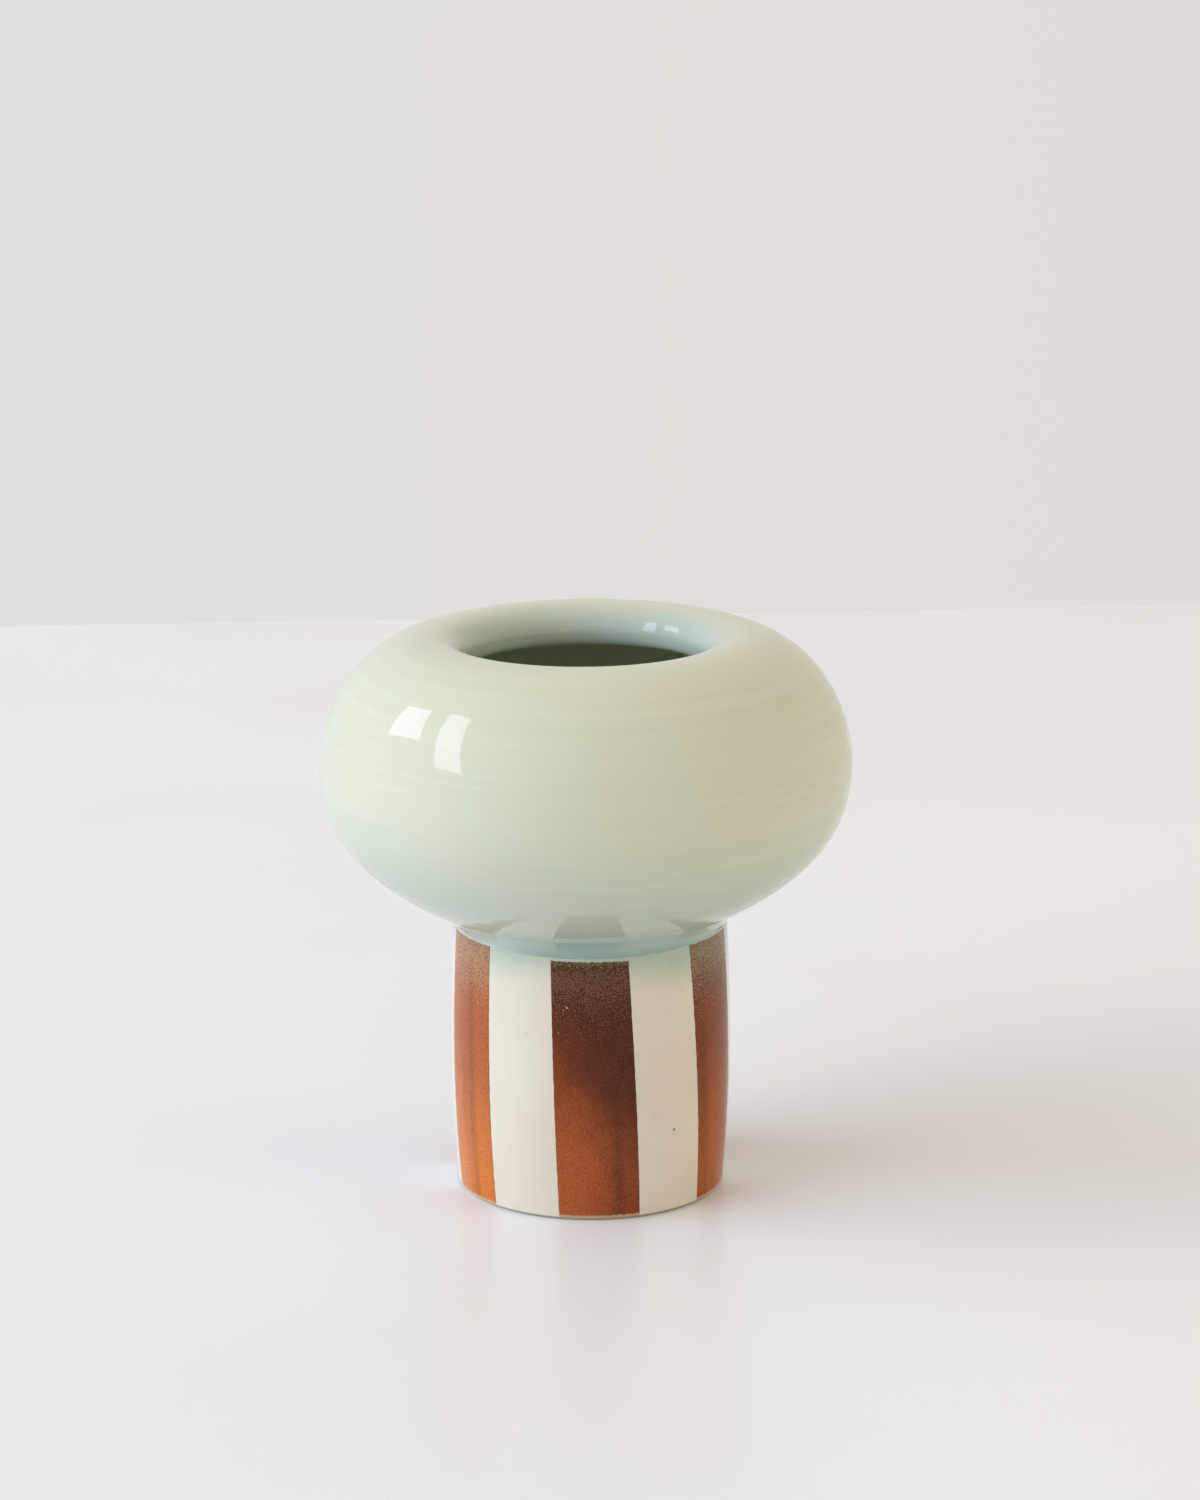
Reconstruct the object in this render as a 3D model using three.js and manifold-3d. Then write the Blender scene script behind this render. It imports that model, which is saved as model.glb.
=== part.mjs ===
// Tea whisk holder: a small hand-thrown stoneware stand. A hollow, celadon-glazed bulb with a
// rolled-in mouth sits on a barrel-shaped tube that carries six inlaid bands of brown slip.
// Millimetres, +Z up. The origin is on the table, under the middle of the bulb. The front
// band faces -Y. Angles around the stem start at the front (-Y) and grow towards +X.
import * as THREE from "three";
import { mergeVertices } from "three/addons/utils/BufferGeometryUtils.js";
import Module from "manifold-3d";

// Stem: a thrown tube, open right through
const stemHeight = 32.4;
const stemFootDiameter = 31.4;
const stemBellyDiameter = 33;
const stemBellyHeight = 16.5;
const stemTopDiameter = 32;
const stemBore = 22.5;
const footEdgeRadius = 0.6;
const footBoreBevel = 0.8;
const stemOffCentre = 0.5; // the tube was luted on a little to the right of the bulb's axis

// Bulb: a closed-in bowl with its mouth rolled inwards
const bulbDiameter = 62;
const bulbEquatorRise = 18.4; // above the joint
const bulbHeight = 33.9; // joint to the crest of the lip
const bulbWall = 3.4;
const undersideSlope = 33; // degrees above level where the bulb leaves the stem
const undersideHandle = 11;
const bellyHandle = 9.5;
const shoulderHandle = 8;
const crestHandle = 7;
const lipCrestDiameter = 36.4;
const mouthDiameter = 27.4;
const lipDrop = 3.2; // crest down to the narrowest part of the mouth
const lipNose = 2.6; // rounded end of the rolled lip, below the narrowest part
const rollCrestHandle = 2.7; // how far the crest's curve runs level before it rolls in
const rollMouthHandle = 1.8; // how far the mouth's curve runs upright
const lipThickening = 0.4; // the rolled lip is this much thicker than the wall
const noseFullness = 1.2; // how far its rounded end hangs below the wall
const neckHoleDiameter = 19;
const neckHoleBevel = 1;
const floorRise = 3.8; // bulb floor above the joint, beside the neck hole
const bowlHandle = 6.6; // how far the bowl's curve runs out over the floor
const bowlDish = 1.2; // and how much it has risen there
const insideHandleShare = 0.85; // the inner line's handles, shorter than the outer line's

// Joint: both pieces are rebated, and a ring of slip and pooled glaze fills the rebate
const rebateDepthBelow = 0.8;
const rebateDepthAbove = 1.0;
const collarWidth = 1.05;
const collarFlare = 0.75; // how much wider the ring is at its top than the stem
const collarUpright = 0.6; // share of its height over which its flank leaves the stem upright
const collarSweep = 0.3; // share of the flare at which the flank's curve comes in

// Bands of brown slip, laid in shallow channels cut in the stem
const bandThickness = 0.6;
const bandFootGap = 0.7; // table to the lower end of a band
const bandTopGap = 0.5; // rebate to the upper end of a band
const bandEdgeHeight = 16; // height at which the angles below are taken
// Each edge's angle in degrees, and the degrees that it drifts towards +X for each millimetre down
const bands = [
  { name: "band_front", start: -15.4, startLean: 0.12, end: 19, endLean: 0.19 },
  { name: "band_front_right", start: 48.5, startLean: 0.22, end: 79.4, endLean: 0.18 },
  { name: "band_back_right", start: 107.2, startLean: 0.13, end: 138.2, endLean: 0.13 },
  { name: "band_back", start: 165.8, startLean: 0.13, end: 196.8, endLean: 0.13 },
  { name: "band_back_left", start: 224.4, startLean: 0.13, end: 255.4, endLean: 0.1 },
  { name: "band_front_left", start: 283.6, startLean: 0.1, end: 314.4, endLean: 0.08 },
];

const clearance = 0.3; // between pieces with curved faces
const roundSteps = 64;
const bandStepsAround = 6;
const bandStepsUp = 8;
const footEdgeSteps = 4;
const stemWallSteps = 10;
const collarSteps = 4;
const bulbSteps = { underside: 12, shoulder: 10, roll: 6, nose: 5, ceiling: 7, bowl: 8 };
const quarterCircleHandle = 0.5523; // of a cubic curve, as a share of the radius
const weldDistance = 1e-4; // points nearer than this are one

// Colours and finishes
const celadonGlaze = { color: 0xc6ccb8, roughness: 0.12, metalness: 0 };
const creamBody = { color: 0xe6e2d2, roughness: 0.2, metalness: 0 };
const pooledGlaze = { color: 0x9aaea2, roughness: 0.1, metalness: 0 };
const brownSlip = { color: 0x7a4128, roughness: 0.22, metalness: 0 };

const wasm = await Module();
wasm.setup();

// A closed three.js geometry as a solid that can be cut.
function toSolid(geometry) {
  const bare = geometry.clone();
  bare.deleteAttribute("normal");
  bare.deleteAttribute("uv");
  const merged = mergeVertices(bare, weldDistance);
  const vertProperties = new Float32Array(merged.attributes.position.array);
  const triVerts = new Uint32Array(merged.index.array);
  return new wasm.Manifold(new wasm.Mesh({ numProp: 3, vertProperties, triVerts }));
}

// A cut solid as a three.js geometry again.
function toGeometry(solid) {
  const mesh = solid.getMesh();
  const geometry = new THREE.BufferGeometry();
  geometry.setAttribute("position", new THREE.BufferAttribute(mesh.vertProperties, 3));
  geometry.setIndex(new THREE.BufferAttribute(mesh.triVerts, 1));
  geometry.computeVertexNormals();
  return geometry;
}

// A closed outline of [radius, height] points turned about Z. The outline runs
// anticlockwise as seen with the radius to the right and the height up.
function turned(outline) {
  const points = outline.map(([radius, height]) => new THREE.Vector2(radius, height));
  points.push(points[0].clone());
  const geometry = new THREE.LatheGeometry(points, roundSteps);
  return geometry.rotateX(Math.PI / 2);
}

// Points of a cubic curve between two [radius, height] points, without the last one.
function curved(from, leave, arrive, to, steps) {
  const asPoint = ([radius, height]) => new THREE.Vector2(radius, height);
  const curve = new THREE.CubicBezierCurve(...[from, leave, arrive, to].map(asPoint));
  const points = curve.getPoints(steps).slice(0, -1);
  return points.map((point) => [point.x, point.y]);
}

// Outer radius of the barrel-shaped stem at a height.
function stemRadius(height) {
  const belly = stemBellyDiameter / 2;
  const below = height < stemBellyHeight;
  const end = (below ? stemFootDiameter : stemTopDiameter) / 2;
  const reach = below ? stemBellyHeight : stemHeight - stemBellyHeight;
  return belly - (belly - end) * ((height - stemBellyHeight) / reach) ** 2;
}

const rebateFloor = stemHeight - rebateDepthBelow;
const rebateCeiling = stemHeight + rebateDepthAbove;
const collarInner = stemRadius(rebateFloor) - collarWidth;
const spigotRadius = collarInner - clearance;
const bandLow = bandFootGap;
const bandHigh = rebateFloor - bandTopGap;

// The tube: foot with a rounded edge, barrel wall, rebate and spigot at the top.
function stemBlank() {
  const bore = stemBore / 2;
  const foot = stemRadius(footEdgeRadius);
  const flat = foot - footEdgeRadius;
  const handle = footEdgeRadius * quarterCircleHandle;
  const outline = [
    [bore, footBoreBevel],
    [bore + footBoreBevel, 0],
    ...curved(
      [flat, 0],
      [flat + handle, 0],
      [foot, footEdgeRadius - handle],
      [foot, footEdgeRadius],
      footEdgeSteps,
    ),
  ];
  for (let step = 0; step <= stemWallSteps; step++) {
    const height = THREE.MathUtils.lerp(footEdgeRadius, rebateFloor, step / stemWallSteps);
    outline.push([stemRadius(height), height]);
  }
  outline.push([spigotRadius, rebateFloor], [spigotRadius, stemHeight], [bore, stemHeight]);
  return toSolid(turned(outline));
}

// A slab bent around the stem between two angles and two heights, leaning as the bands do.
// It reaches from inset below the stem's surface to proud above it, and sideGap past each edge.
function wrappedSlab({ start, startLean, end, endLean }, { low, high, inset, proud, sideGap }) {
  const columns = bandStepsAround + 1;
  const rows = bandStepsUp + 1;
  const positions = [];
  for (const offset of [proud, -inset]) {
    for (let row = 0; row < rows; row++) {
      const height = THREE.MathUtils.lerp(low, high, row / bandStepsUp);
      const down = bandEdgeHeight - height;
      const first = start + startLean * down - sideGap;
      const last = end + endLean * down + sideGap;
      const radius = stemRadius(height) + offset;
      for (let column = 0; column < columns; column++) {
        const degrees = THREE.MathUtils.lerp(first, last, column / bandStepsAround);
        const angle = THREE.MathUtils.degToRad(degrees);
        positions.push(radius * Math.sin(angle), -radius * Math.cos(angle), height);
      }
    }
  }
  const triangles = [];
  const quad = (a, b, c, d) => triangles.push(a, b, c, a, c, d);
  const outer = (row, column) => row * columns + column;
  const inner = (row, column) => rows * columns + row * columns + column;
  for (let row = 0; row < bandStepsUp; row++) {
    for (let column = 0; column < bandStepsAround; column++) {
      const next = column + 1;
      quad(outer(row, column), outer(row, next), outer(row + 1, next), outer(row + 1, column));
      quad(inner(row, column), inner(row + 1, column), inner(row + 1, next), inner(row, next));
    }
    quad(outer(row, 0), outer(row + 1, 0), inner(row + 1, 0), inner(row, 0));
    const edge = bandStepsAround;
    quad(outer(row, edge), inner(row, edge), inner(row + 1, edge), outer(row + 1, edge));
  }
  for (let column = 0; column < bandStepsAround; column++) {
    quad(outer(0, column), inner(0, column), inner(0, column + 1), outer(0, column + 1));
    const top = bandStepsUp;
    quad(outer(top, column), outer(top, column + 1), inner(top, column + 1), inner(top, column));
  }
  const geometry = new THREE.BufferGeometry();
  geometry.setAttribute("position", new THREE.Float32BufferAttribute(positions, 3));
  geometry.setIndex(triangles);
  geometry.computeVertexNormals();
  return geometry;
}

// A band of slip, flush with the stem.
function bandGeometry(band) {
  return wrappedSlab(band, { low: bandLow, high: bandHigh, inset: bandThickness, proud: 0, sideGap: 0 });
}

// The channel for a band: the band grown by the clearance, open to the outside.
function bandChannel(band) {
  return wrappedSlab(band, {
    low: bandLow - clearance,
    high: bandHigh + clearance,
    inset: bandThickness + clearance,
    proud: clearance,
    sideGap: THREE.MathUtils.radToDeg(clearance / (stemFootDiameter / 2)),
  });
}

// The tube with its channels cut.
function stemGeometry() {
  let stem = stemBlank();
  for (const band of bands) {
    stem = stem.subtract(toSolid(bandChannel(band)));
  }
  return toGeometry(stem);
}

// The hollow bulb, around its own axis: floor with a neck hole, belly, shoulder, rolled lip,
// and the same line inside, one wall thickness in.
function bulbGeometry() {
  const joint = stemHeight;
  const neck = stemTopDiameter / 2;
  const slope = THREE.MathUtils.degToRad(undersideSlope);
  const equator = bulbDiameter / 2;
  const equatorHeight = joint + bulbEquatorRise;
  const crest = lipCrestDiameter / 2;
  const crestHeight = joint + bulbHeight;
  const mouth = mouthDiameter / 2;
  const mouthHeight = crestHeight - lipDrop;
  const noseRadius = (crest - mouth) / 2;
  const inside = equator - bulbWall;
  const hole = neckHoleDiameter / 2;
  const floorHeight = joint + floorRise;
  const rebateWall = spigotRadius - Math.abs(stemOffCentre);
  const lipUnderside = [crest + noseRadius, crestHeight - bulbWall - lipThickening];
  const floorEdge = [hole + neckHoleBevel, floorHeight];

  const underside = curved(
    [neck, joint],
    [neck + undersideHandle * Math.cos(slope), joint + undersideHandle * Math.sin(slope)],
    [equator, equatorHeight - bellyHandle],
    [equator, equatorHeight],
    bulbSteps.underside,
  );
  const aboveRebate = underside.filter(([, height]) => height > rebateCeiling + clearance);
  const rise = (aboveRebate[0][1] - rebateCeiling) / Math.tan(slope);
  const undersideEdge = [aboveRebate[0][0] - rise, rebateCeiling];

  const shoulder = curved(
    [equator, equatorHeight],
    [equator, equatorHeight + shoulderHandle],
    [crest + crestHandle, crestHeight],
    [crest, crestHeight],
    bulbSteps.shoulder,
  );
  const roll = curved(
    [crest, crestHeight],
    [crest - rollCrestHandle, crestHeight],
    [mouth, mouthHeight + rollMouthHandle],
    [mouth, mouthHeight],
    bulbSteps.roll,
  );
  const nose = curved(
    [mouth, mouthHeight],
    [mouth, mouthHeight - lipNose],
    [crest - noseRadius, crestHeight - bulbWall - noseFullness],
    lipUnderside,
    bulbSteps.nose,
  );
  const ceiling = curved(
    lipUnderside,
    [crest + crestHandle, crestHeight - bulbWall],
    [inside, equatorHeight + shoulderHandle * insideHandleShare],
    [inside, equatorHeight],
    bulbSteps.ceiling,
  );
  const bowl = curved(
    [inside, equatorHeight],
    [inside, equatorHeight - bellyHandle * insideHandleShare],
    [neck + bowlHandle, floorHeight + bowlDish],
    floorEdge,
    bulbSteps.bowl,
  );
  const floorAndNeck = [
    floorEdge,
    [hole, floorHeight - neckHoleBevel],
    [hole, joint],
    [rebateWall, joint],
    [rebateWall, rebateCeiling],
    undersideEdge,
  ];
  return turned([...aboveRebate, ...shoulder, ...roll, ...nose, ...ceiling, ...bowl, ...floorAndNeck]);
}

// The ring of slip and pooled glaze in the rebate, flush with the stem and flared to the bulb.
function collarGeometry() {
  const low = rebateFloor + clearance;
  const high = rebateCeiling - clearance;
  const outer = stemRadius(rebateFloor);
  const flank = curved(
    [outer, low],
    [outer, low + (high - low) * collarUpright],
    [outer + collarFlare * collarSweep, high],
    [outer + collarFlare, high],
    collarSteps,
  );
  return turned([[collarInner, low], ...flank, [outer + collarFlare, high], [collarInner, high]]);
}

// A named piece with its own finish.
function piece(name, geometry, finish) {
  const mesh = new THREE.Mesh(geometry, new THREE.MeshStandardMaterial(finish));
  mesh.name = name;
  return mesh;
}

const holder = new THREE.Group();

const stemGroup = new THREE.Group();
stemGroup.position.x = stemOffCentre;
stemGroup.add(piece("stem_tube", stemGeometry(), creamBody));
stemGroup.add(piece("joint_collar", collarGeometry(), pooledGlaze));
for (const band of bands) {
  stemGroup.add(piece(band.name, bandGeometry(band), brownSlip));
}
holder.add(stemGroup);

holder.add(piece("bulb_shell", bulbGeometry(), celadonGlaze));

export default holder;
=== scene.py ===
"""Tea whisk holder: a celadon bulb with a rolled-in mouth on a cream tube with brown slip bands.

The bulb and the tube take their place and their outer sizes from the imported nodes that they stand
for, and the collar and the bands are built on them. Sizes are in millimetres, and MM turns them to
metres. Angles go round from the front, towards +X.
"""

import logging
import math
from collections.abc import Callable
from dataclasses import dataclass, field, replace
from enum import Enum

import bpy
from mathutils import Matrix, Vector


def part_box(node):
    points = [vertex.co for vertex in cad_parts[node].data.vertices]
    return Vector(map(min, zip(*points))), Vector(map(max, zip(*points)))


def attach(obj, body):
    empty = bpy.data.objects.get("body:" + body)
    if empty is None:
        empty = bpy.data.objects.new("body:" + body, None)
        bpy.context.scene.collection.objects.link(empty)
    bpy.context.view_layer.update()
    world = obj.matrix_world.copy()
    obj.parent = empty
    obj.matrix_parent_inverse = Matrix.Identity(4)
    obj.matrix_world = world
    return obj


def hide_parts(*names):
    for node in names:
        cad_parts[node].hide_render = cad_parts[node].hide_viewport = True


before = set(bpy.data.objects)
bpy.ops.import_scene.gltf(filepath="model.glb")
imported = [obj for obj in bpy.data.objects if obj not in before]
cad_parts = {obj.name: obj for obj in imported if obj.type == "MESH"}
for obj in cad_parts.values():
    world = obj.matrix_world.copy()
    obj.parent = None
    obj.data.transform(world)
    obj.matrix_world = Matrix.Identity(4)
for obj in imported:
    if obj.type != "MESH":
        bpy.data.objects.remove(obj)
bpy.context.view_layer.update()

MM = 0.001
QUARTER_HANDLE = 0.5523  # handle of a quarter circle drawn as a cubic curve, as a share of its radius
EDGE_OCTAVES = 4.0  # finer octaves in the wander of a band's edges
FEATHER_SUNK = 0.5  # how deep a band's feathered edge ends, as a share of how proud the band is
LOG = logging.getLogger("whisk_holder")
Point = tuple[float, float]
Colour = tuple[float, float, float, float]
Outline = Callable[[float], list[tuple[float, float, float]]]
Radius = Callable[[float], float]


class Slot(Enum):
    """The record's material slots."""

    BULB = "celadon_glazed_bulb"
    TUBE = "clear_glazed_cream_stoneware"
    POOL = "pooled_celadon_glaze"
    BAND = "glazed_brown_slip"


class Blend(Enum):
    """How one colour is laid over another."""

    COVER = "MIX"
    STAIN = "MULTIPLY"


def to_linear(code: str) -> Colour:
    """Turns an sRGB hex colour to linear.

    Args:
        code: Six hex digits with a leading hash.

    Returns:
        Red, green, blue and an alpha of 1, all linear.
    """
    channels = [int(code[at:at + 2], 16) / 255 for at in (1, 3, 5)]
    linear = [c / 12.92 if c <= 0.04045 else ((c + 0.055) / 1.055) ** 2.4 for c in channels]
    return (*linear, 1.0)


def add_node(
    tree: bpy.types.NodeTree, kind: str, inputs: dict | None = None, output: int | str = 0, **settings
) -> bpy.types.NodeSocket | None:
    """Adds a node, sets its properties, and fills or links its inputs.

    Args:
        tree: The node tree that gets the node.
        kind: The node's type name.
        inputs: Socket name or number to a value, or to an output socket to link from.
        output: Name or number of the output that is given back.
        **settings: The node's own properties, such as operation.

    Returns:
        The chosen output socket, or None for a node that has no outputs.
    """
    node = tree.nodes.new(kind)
    for name, value in settings.items():
        setattr(node, name, value)
    for key, value in (inputs or {}).items():
        socket = node.inputs[key]
        if isinstance(value, bpy.types.NodeSocket):
            tree.links.new(value, socket)
        else:
            socket.default_value = value
    return node.outputs[output] if len(node.outputs) else None


def curved(start: Point, leave: Point, arrive: Point, end: Point, steps: int) -> list[Point]:
    """Points of a cubic curve in the radius and height plane, without the last one.

    Args:
        start: First point.
        leave: Handle of the first point.
        arrive: Handle of the last point.
        end: Last point.
        steps: How many points to give.

    Returns:
        Radius and height of each point.
    """
    points = []
    for step in range(steps):
        t = step / steps
        weights = ((1 - t) ** 3, 3 * t * (1 - t) ** 2, 3 * t * t * (1 - t), t ** 3)
        corners = (start, leave, arrive, end)
        points.append(tuple(sum(w * c[axis] for w, c in zip(weights, corners)) for axis in (0, 1)))
    return points


def straight(start: Point, end: Point, steps: int) -> list[Point]:
    """Points of a straight line in the radius and height plane, without the last one.

    Args:
        start: First point.
        end: Last point.
        steps: How many points to give.

    Returns:
        Radius and height of each point.
    """
    return curved(start, start, end, end, steps)


def turned_object(name: str, outline: Outline, around: int) -> bpy.types.Object:
    """Turns a closed outline about a vertical axis into a smooth mesh object.

    Args:
        name: The object's name.
        outline: Gives, for an angle in radians, each point's radius, height and axis x in
            millimetres, anticlockwise with the radius to the right, without the first point again.
        around: Number of steps around.

    Returns:
        The object, at the origin, with its place in its mesh.
    """
    points, faces = [], []
    for step in range(around):
        angle = 2 * math.pi * step / around
        for radius, height, axis_x in outline(angle):
            x, y = axis_x + radius * math.sin(angle), -radius * math.cos(angle)
            points.append((x * MM, y * MM, height * MM))
    ring = len(points) // around
    for step in range(around):
        here, after = step * ring, (step + 1) % around * ring
        for at in range(ring):
            up = (at + 1) % ring
            faces.append((here + at, after + at, after + up, here + up))
    mesh = bpy.data.meshes.new(name)
    mesh.from_pydata(points, [], faces)
    mesh.shade_smooth()
    made = bpy.data.objects.new(name, mesh)
    bpy.context.scene.collection.objects.link(made)
    return made


def grown(carrier: bpy.types.Object, tree: bpy.types.NodeTree, values: dict) -> bpy.types.Object:
    """Runs a Geometry Nodes tree on an object and keeps the result as its plain mesh.

    Args:
        carrier: The object that the tree starts from.
        tree: The Geometry Nodes tree.
        values: Input name to its value.

    Returns:
        The same object.
    """
    modifier = carrier.modifiers.new(tree.name, "NODES")
    modifier.node_group = tree
    sockets = {item.name: item.identifier for item in tree.interface.items_tree if item.in_out == "INPUT"}
    for name, value in values.items():
        modifier[sockets[name]] = value
    view = bpy.context.evaluated_depsgraph_get()
    made = bpy.data.meshes.new_from_object(carrier.evaluated_get(view), depsgraph=view)
    carrier.modifiers.clear()
    carrier.data = made
    made.name = carrier.name
    return carrier


def settle(piece: bpy.types.Object, node: str, slot: Slot) -> bpy.types.Object:
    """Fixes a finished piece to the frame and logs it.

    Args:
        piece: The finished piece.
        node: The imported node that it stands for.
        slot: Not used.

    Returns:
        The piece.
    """
    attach(piece, "root")
    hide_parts(node)
    LOG.info("%s stands for %s with %d faces", piece.name, node, len(piece.data.polygons))
    return piece


def geometry_tree(name: str, lengths: tuple[str, ...], others: dict[str, str]) -> bpy.types.NodeTree:
    """Makes an empty Geometry Nodes tree with named inputs.

    Args:
        name: The tree's name.
        lengths: Names of the inputs that are plain numbers, in metres or radians.
        others: Other input names to their socket types.

    Returns:
        The tree.
    """
    tree = bpy.data.node_groups.new(name, "GeometryNodeTree")
    kinds = {"Geometry": "NodeSocketGeometry", **dict.fromkeys(lengths, "NodeSocketFloat"), **others}
    for label, kind in {**kinds, "Material": "NodeSocketMaterial"}.items():
        tree.interface.new_socket(label, in_out="INPUT", socket_type=kind)
    tree.interface.new_socket("Geometry", in_out="OUTPUT", socket_type="NodeSocketGeometry")
    return tree


def close_tree(
    tree: bpy.types.NodeTree, geometry: bpy.types.NodeSocket, material: bpy.types.NodeSocket
) -> None:
    """Ends a tree in Realize Instances and Set Material.

    Args:
        tree: The Geometry Nodes tree.
        geometry: The finished geometry.
        material: The material input.
    """
    real = add_node(tree, "GeometryNodeRealizeInstances", {"Geometry": geometry})
    dressed = add_node(tree, "GeometryNodeSetMaterial", {"Geometry": real, "Material": material})
    add_node(tree, "NodeGroupOutput", {0: dressed})


def thrown_surface_tree() -> bpy.types.NodeTree:
    """Builds the tree that gives a turned shape its spiral throwing rings and its slow wobble.

    The rings climb one pitch for each turn, as the fingers do. They fade out between two
    heights, and noise breaks them up.

    Returns:
        The tree. It moves each point along its normal.
    """
    lengths = (
        "Axis X", "Ring Pitch", "Ring Depth", "Fade Low", "Fade High", "Least Share",
        "Wobble", "Wobble Size", "Break Size", "Inset", "Seed",
    )
    tree = geometry_tree("thrown_surface", lengths, {})
    given = add_node(tree, "NodeGroupInput").node.outputs
    place = add_node(tree, "GeometryNodeInputPosition")
    part = add_node(tree, "ShaderNodeSeparateXYZ", {0: place}).node.outputs
    from_axis = add_node(tree, "ShaderNodeMath", {0: part["X"], 1: given["Axis X"]}, operation="SUBTRACT")
    angle = add_node(tree, "ShaderNodeMath", {0: part["Y"], 1: from_axis}, operation="ARCTAN2")
    climbed = add_node(tree, "ShaderNodeMath", {0: part["Z"], 1: given["Ring Pitch"]}, operation="DIVIDE")
    phase = add_node(
        tree, "ShaderNodeMath", {0: climbed, 1: 2 * math.pi, 2: angle}, operation="MULTIPLY_ADD"
    )
    ridge = add_node(tree, "ShaderNodeMath", {0: phase}, operation="SINE")
    kept = add_node(
        tree, "ShaderNodeMapRange",
        {
            "Value": part["Z"], "From Min": given["Fade Low"], "From Max": given["Fade High"],
            "To Min": 1.0, "To Max": given["Least Share"],
        },
        interpolation_type="SMOOTHSTEP",
    )
    fine = add_node(tree, "ShaderNodeMath", {0: 1.0, 1: given["Break Size"]}, operation="DIVIDE")
    broken = add_node(
        tree, "ShaderNodeTexNoise",
        {"Vector": place, "W": given["Seed"], "Scale": fine, "Detail": 1.0}, noise_dimensions="4D",
    )
    depth = add_node(tree, "ShaderNodeMath", {0: given["Ring Depth"], 1: kept}, operation="MULTIPLY")
    depth_here = add_node(tree, "ShaderNodeMath", {0: depth, 1: broken}, operation="MULTIPLY")
    ring = add_node(tree, "ShaderNodeMath", {0: ridge, 1: depth_here}, operation="MULTIPLY")
    coarse = add_node(tree, "ShaderNodeMath", {0: 1.0, 1: given["Wobble Size"]}, operation="DIVIDE")
    slow = add_node(
        tree, "ShaderNodeTexNoise",
        {"Vector": place, "W": given["Seed"], "Scale": coarse, "Detail": 0.0}, noise_dimensions="4D",
    )
    centred = add_node(tree, "ShaderNodeMath", {0: slow, 1: 0.5}, operation="SUBTRACT")
    shift = add_node(
        tree, "ShaderNodeMath", {0: centred, 1: given["Wobble"], 2: ring}, operation="MULTIPLY_ADD"
    )
    drawn_in = add_node(tree, "ShaderNodeMath", {0: shift, 1: given["Inset"]}, operation="SUBTRACT")
    normal = add_node(tree, "GeometryNodeInputNormal")
    moved = add_node(tree, "ShaderNodeVectorMath", {0: normal, "Scale": drawn_in}, operation="SCALE")
    surface = add_node(tree, "GeometryNodeSetPosition", {"Geometry": given["Geometry"], "Offset": moved})
    close_tree(tree, surface, given["Material"])
    return tree


def uneven(
    tree: bpy.types.NodeTree, line: bpy.types.NodeSocket, amount: bpy.types.NodeSocket,
    spot: bpy.types.NodeSocket, seed: bpy.types.NodeSocket,
) -> bpy.types.NodeSocket:
    """Makes a drawn line wander.

    Args:
        tree: The node tree.
        line: The line's own value.
        amount: How far it wanders in all.
        spot: Place in the noise, counted in features.
        seed: Seed of the noise.

    Returns:
        The line's value with its wander.
    """
    noise = add_node(
        tree, "ShaderNodeTexNoise", {"Vector": spot, "W": seed, "Scale": 1.0, "Detail": EDGE_OCTAVES},
        noise_dimensions="4D",
    )
    centred = add_node(tree, "ShaderNodeMath", {0: noise, 1: 0.5}, operation="SUBTRACT")
    return add_node(tree, "ShaderNodeMath", {0: centred, 1: amount, 2: line}, operation="MULTIPLY_ADD")


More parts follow.
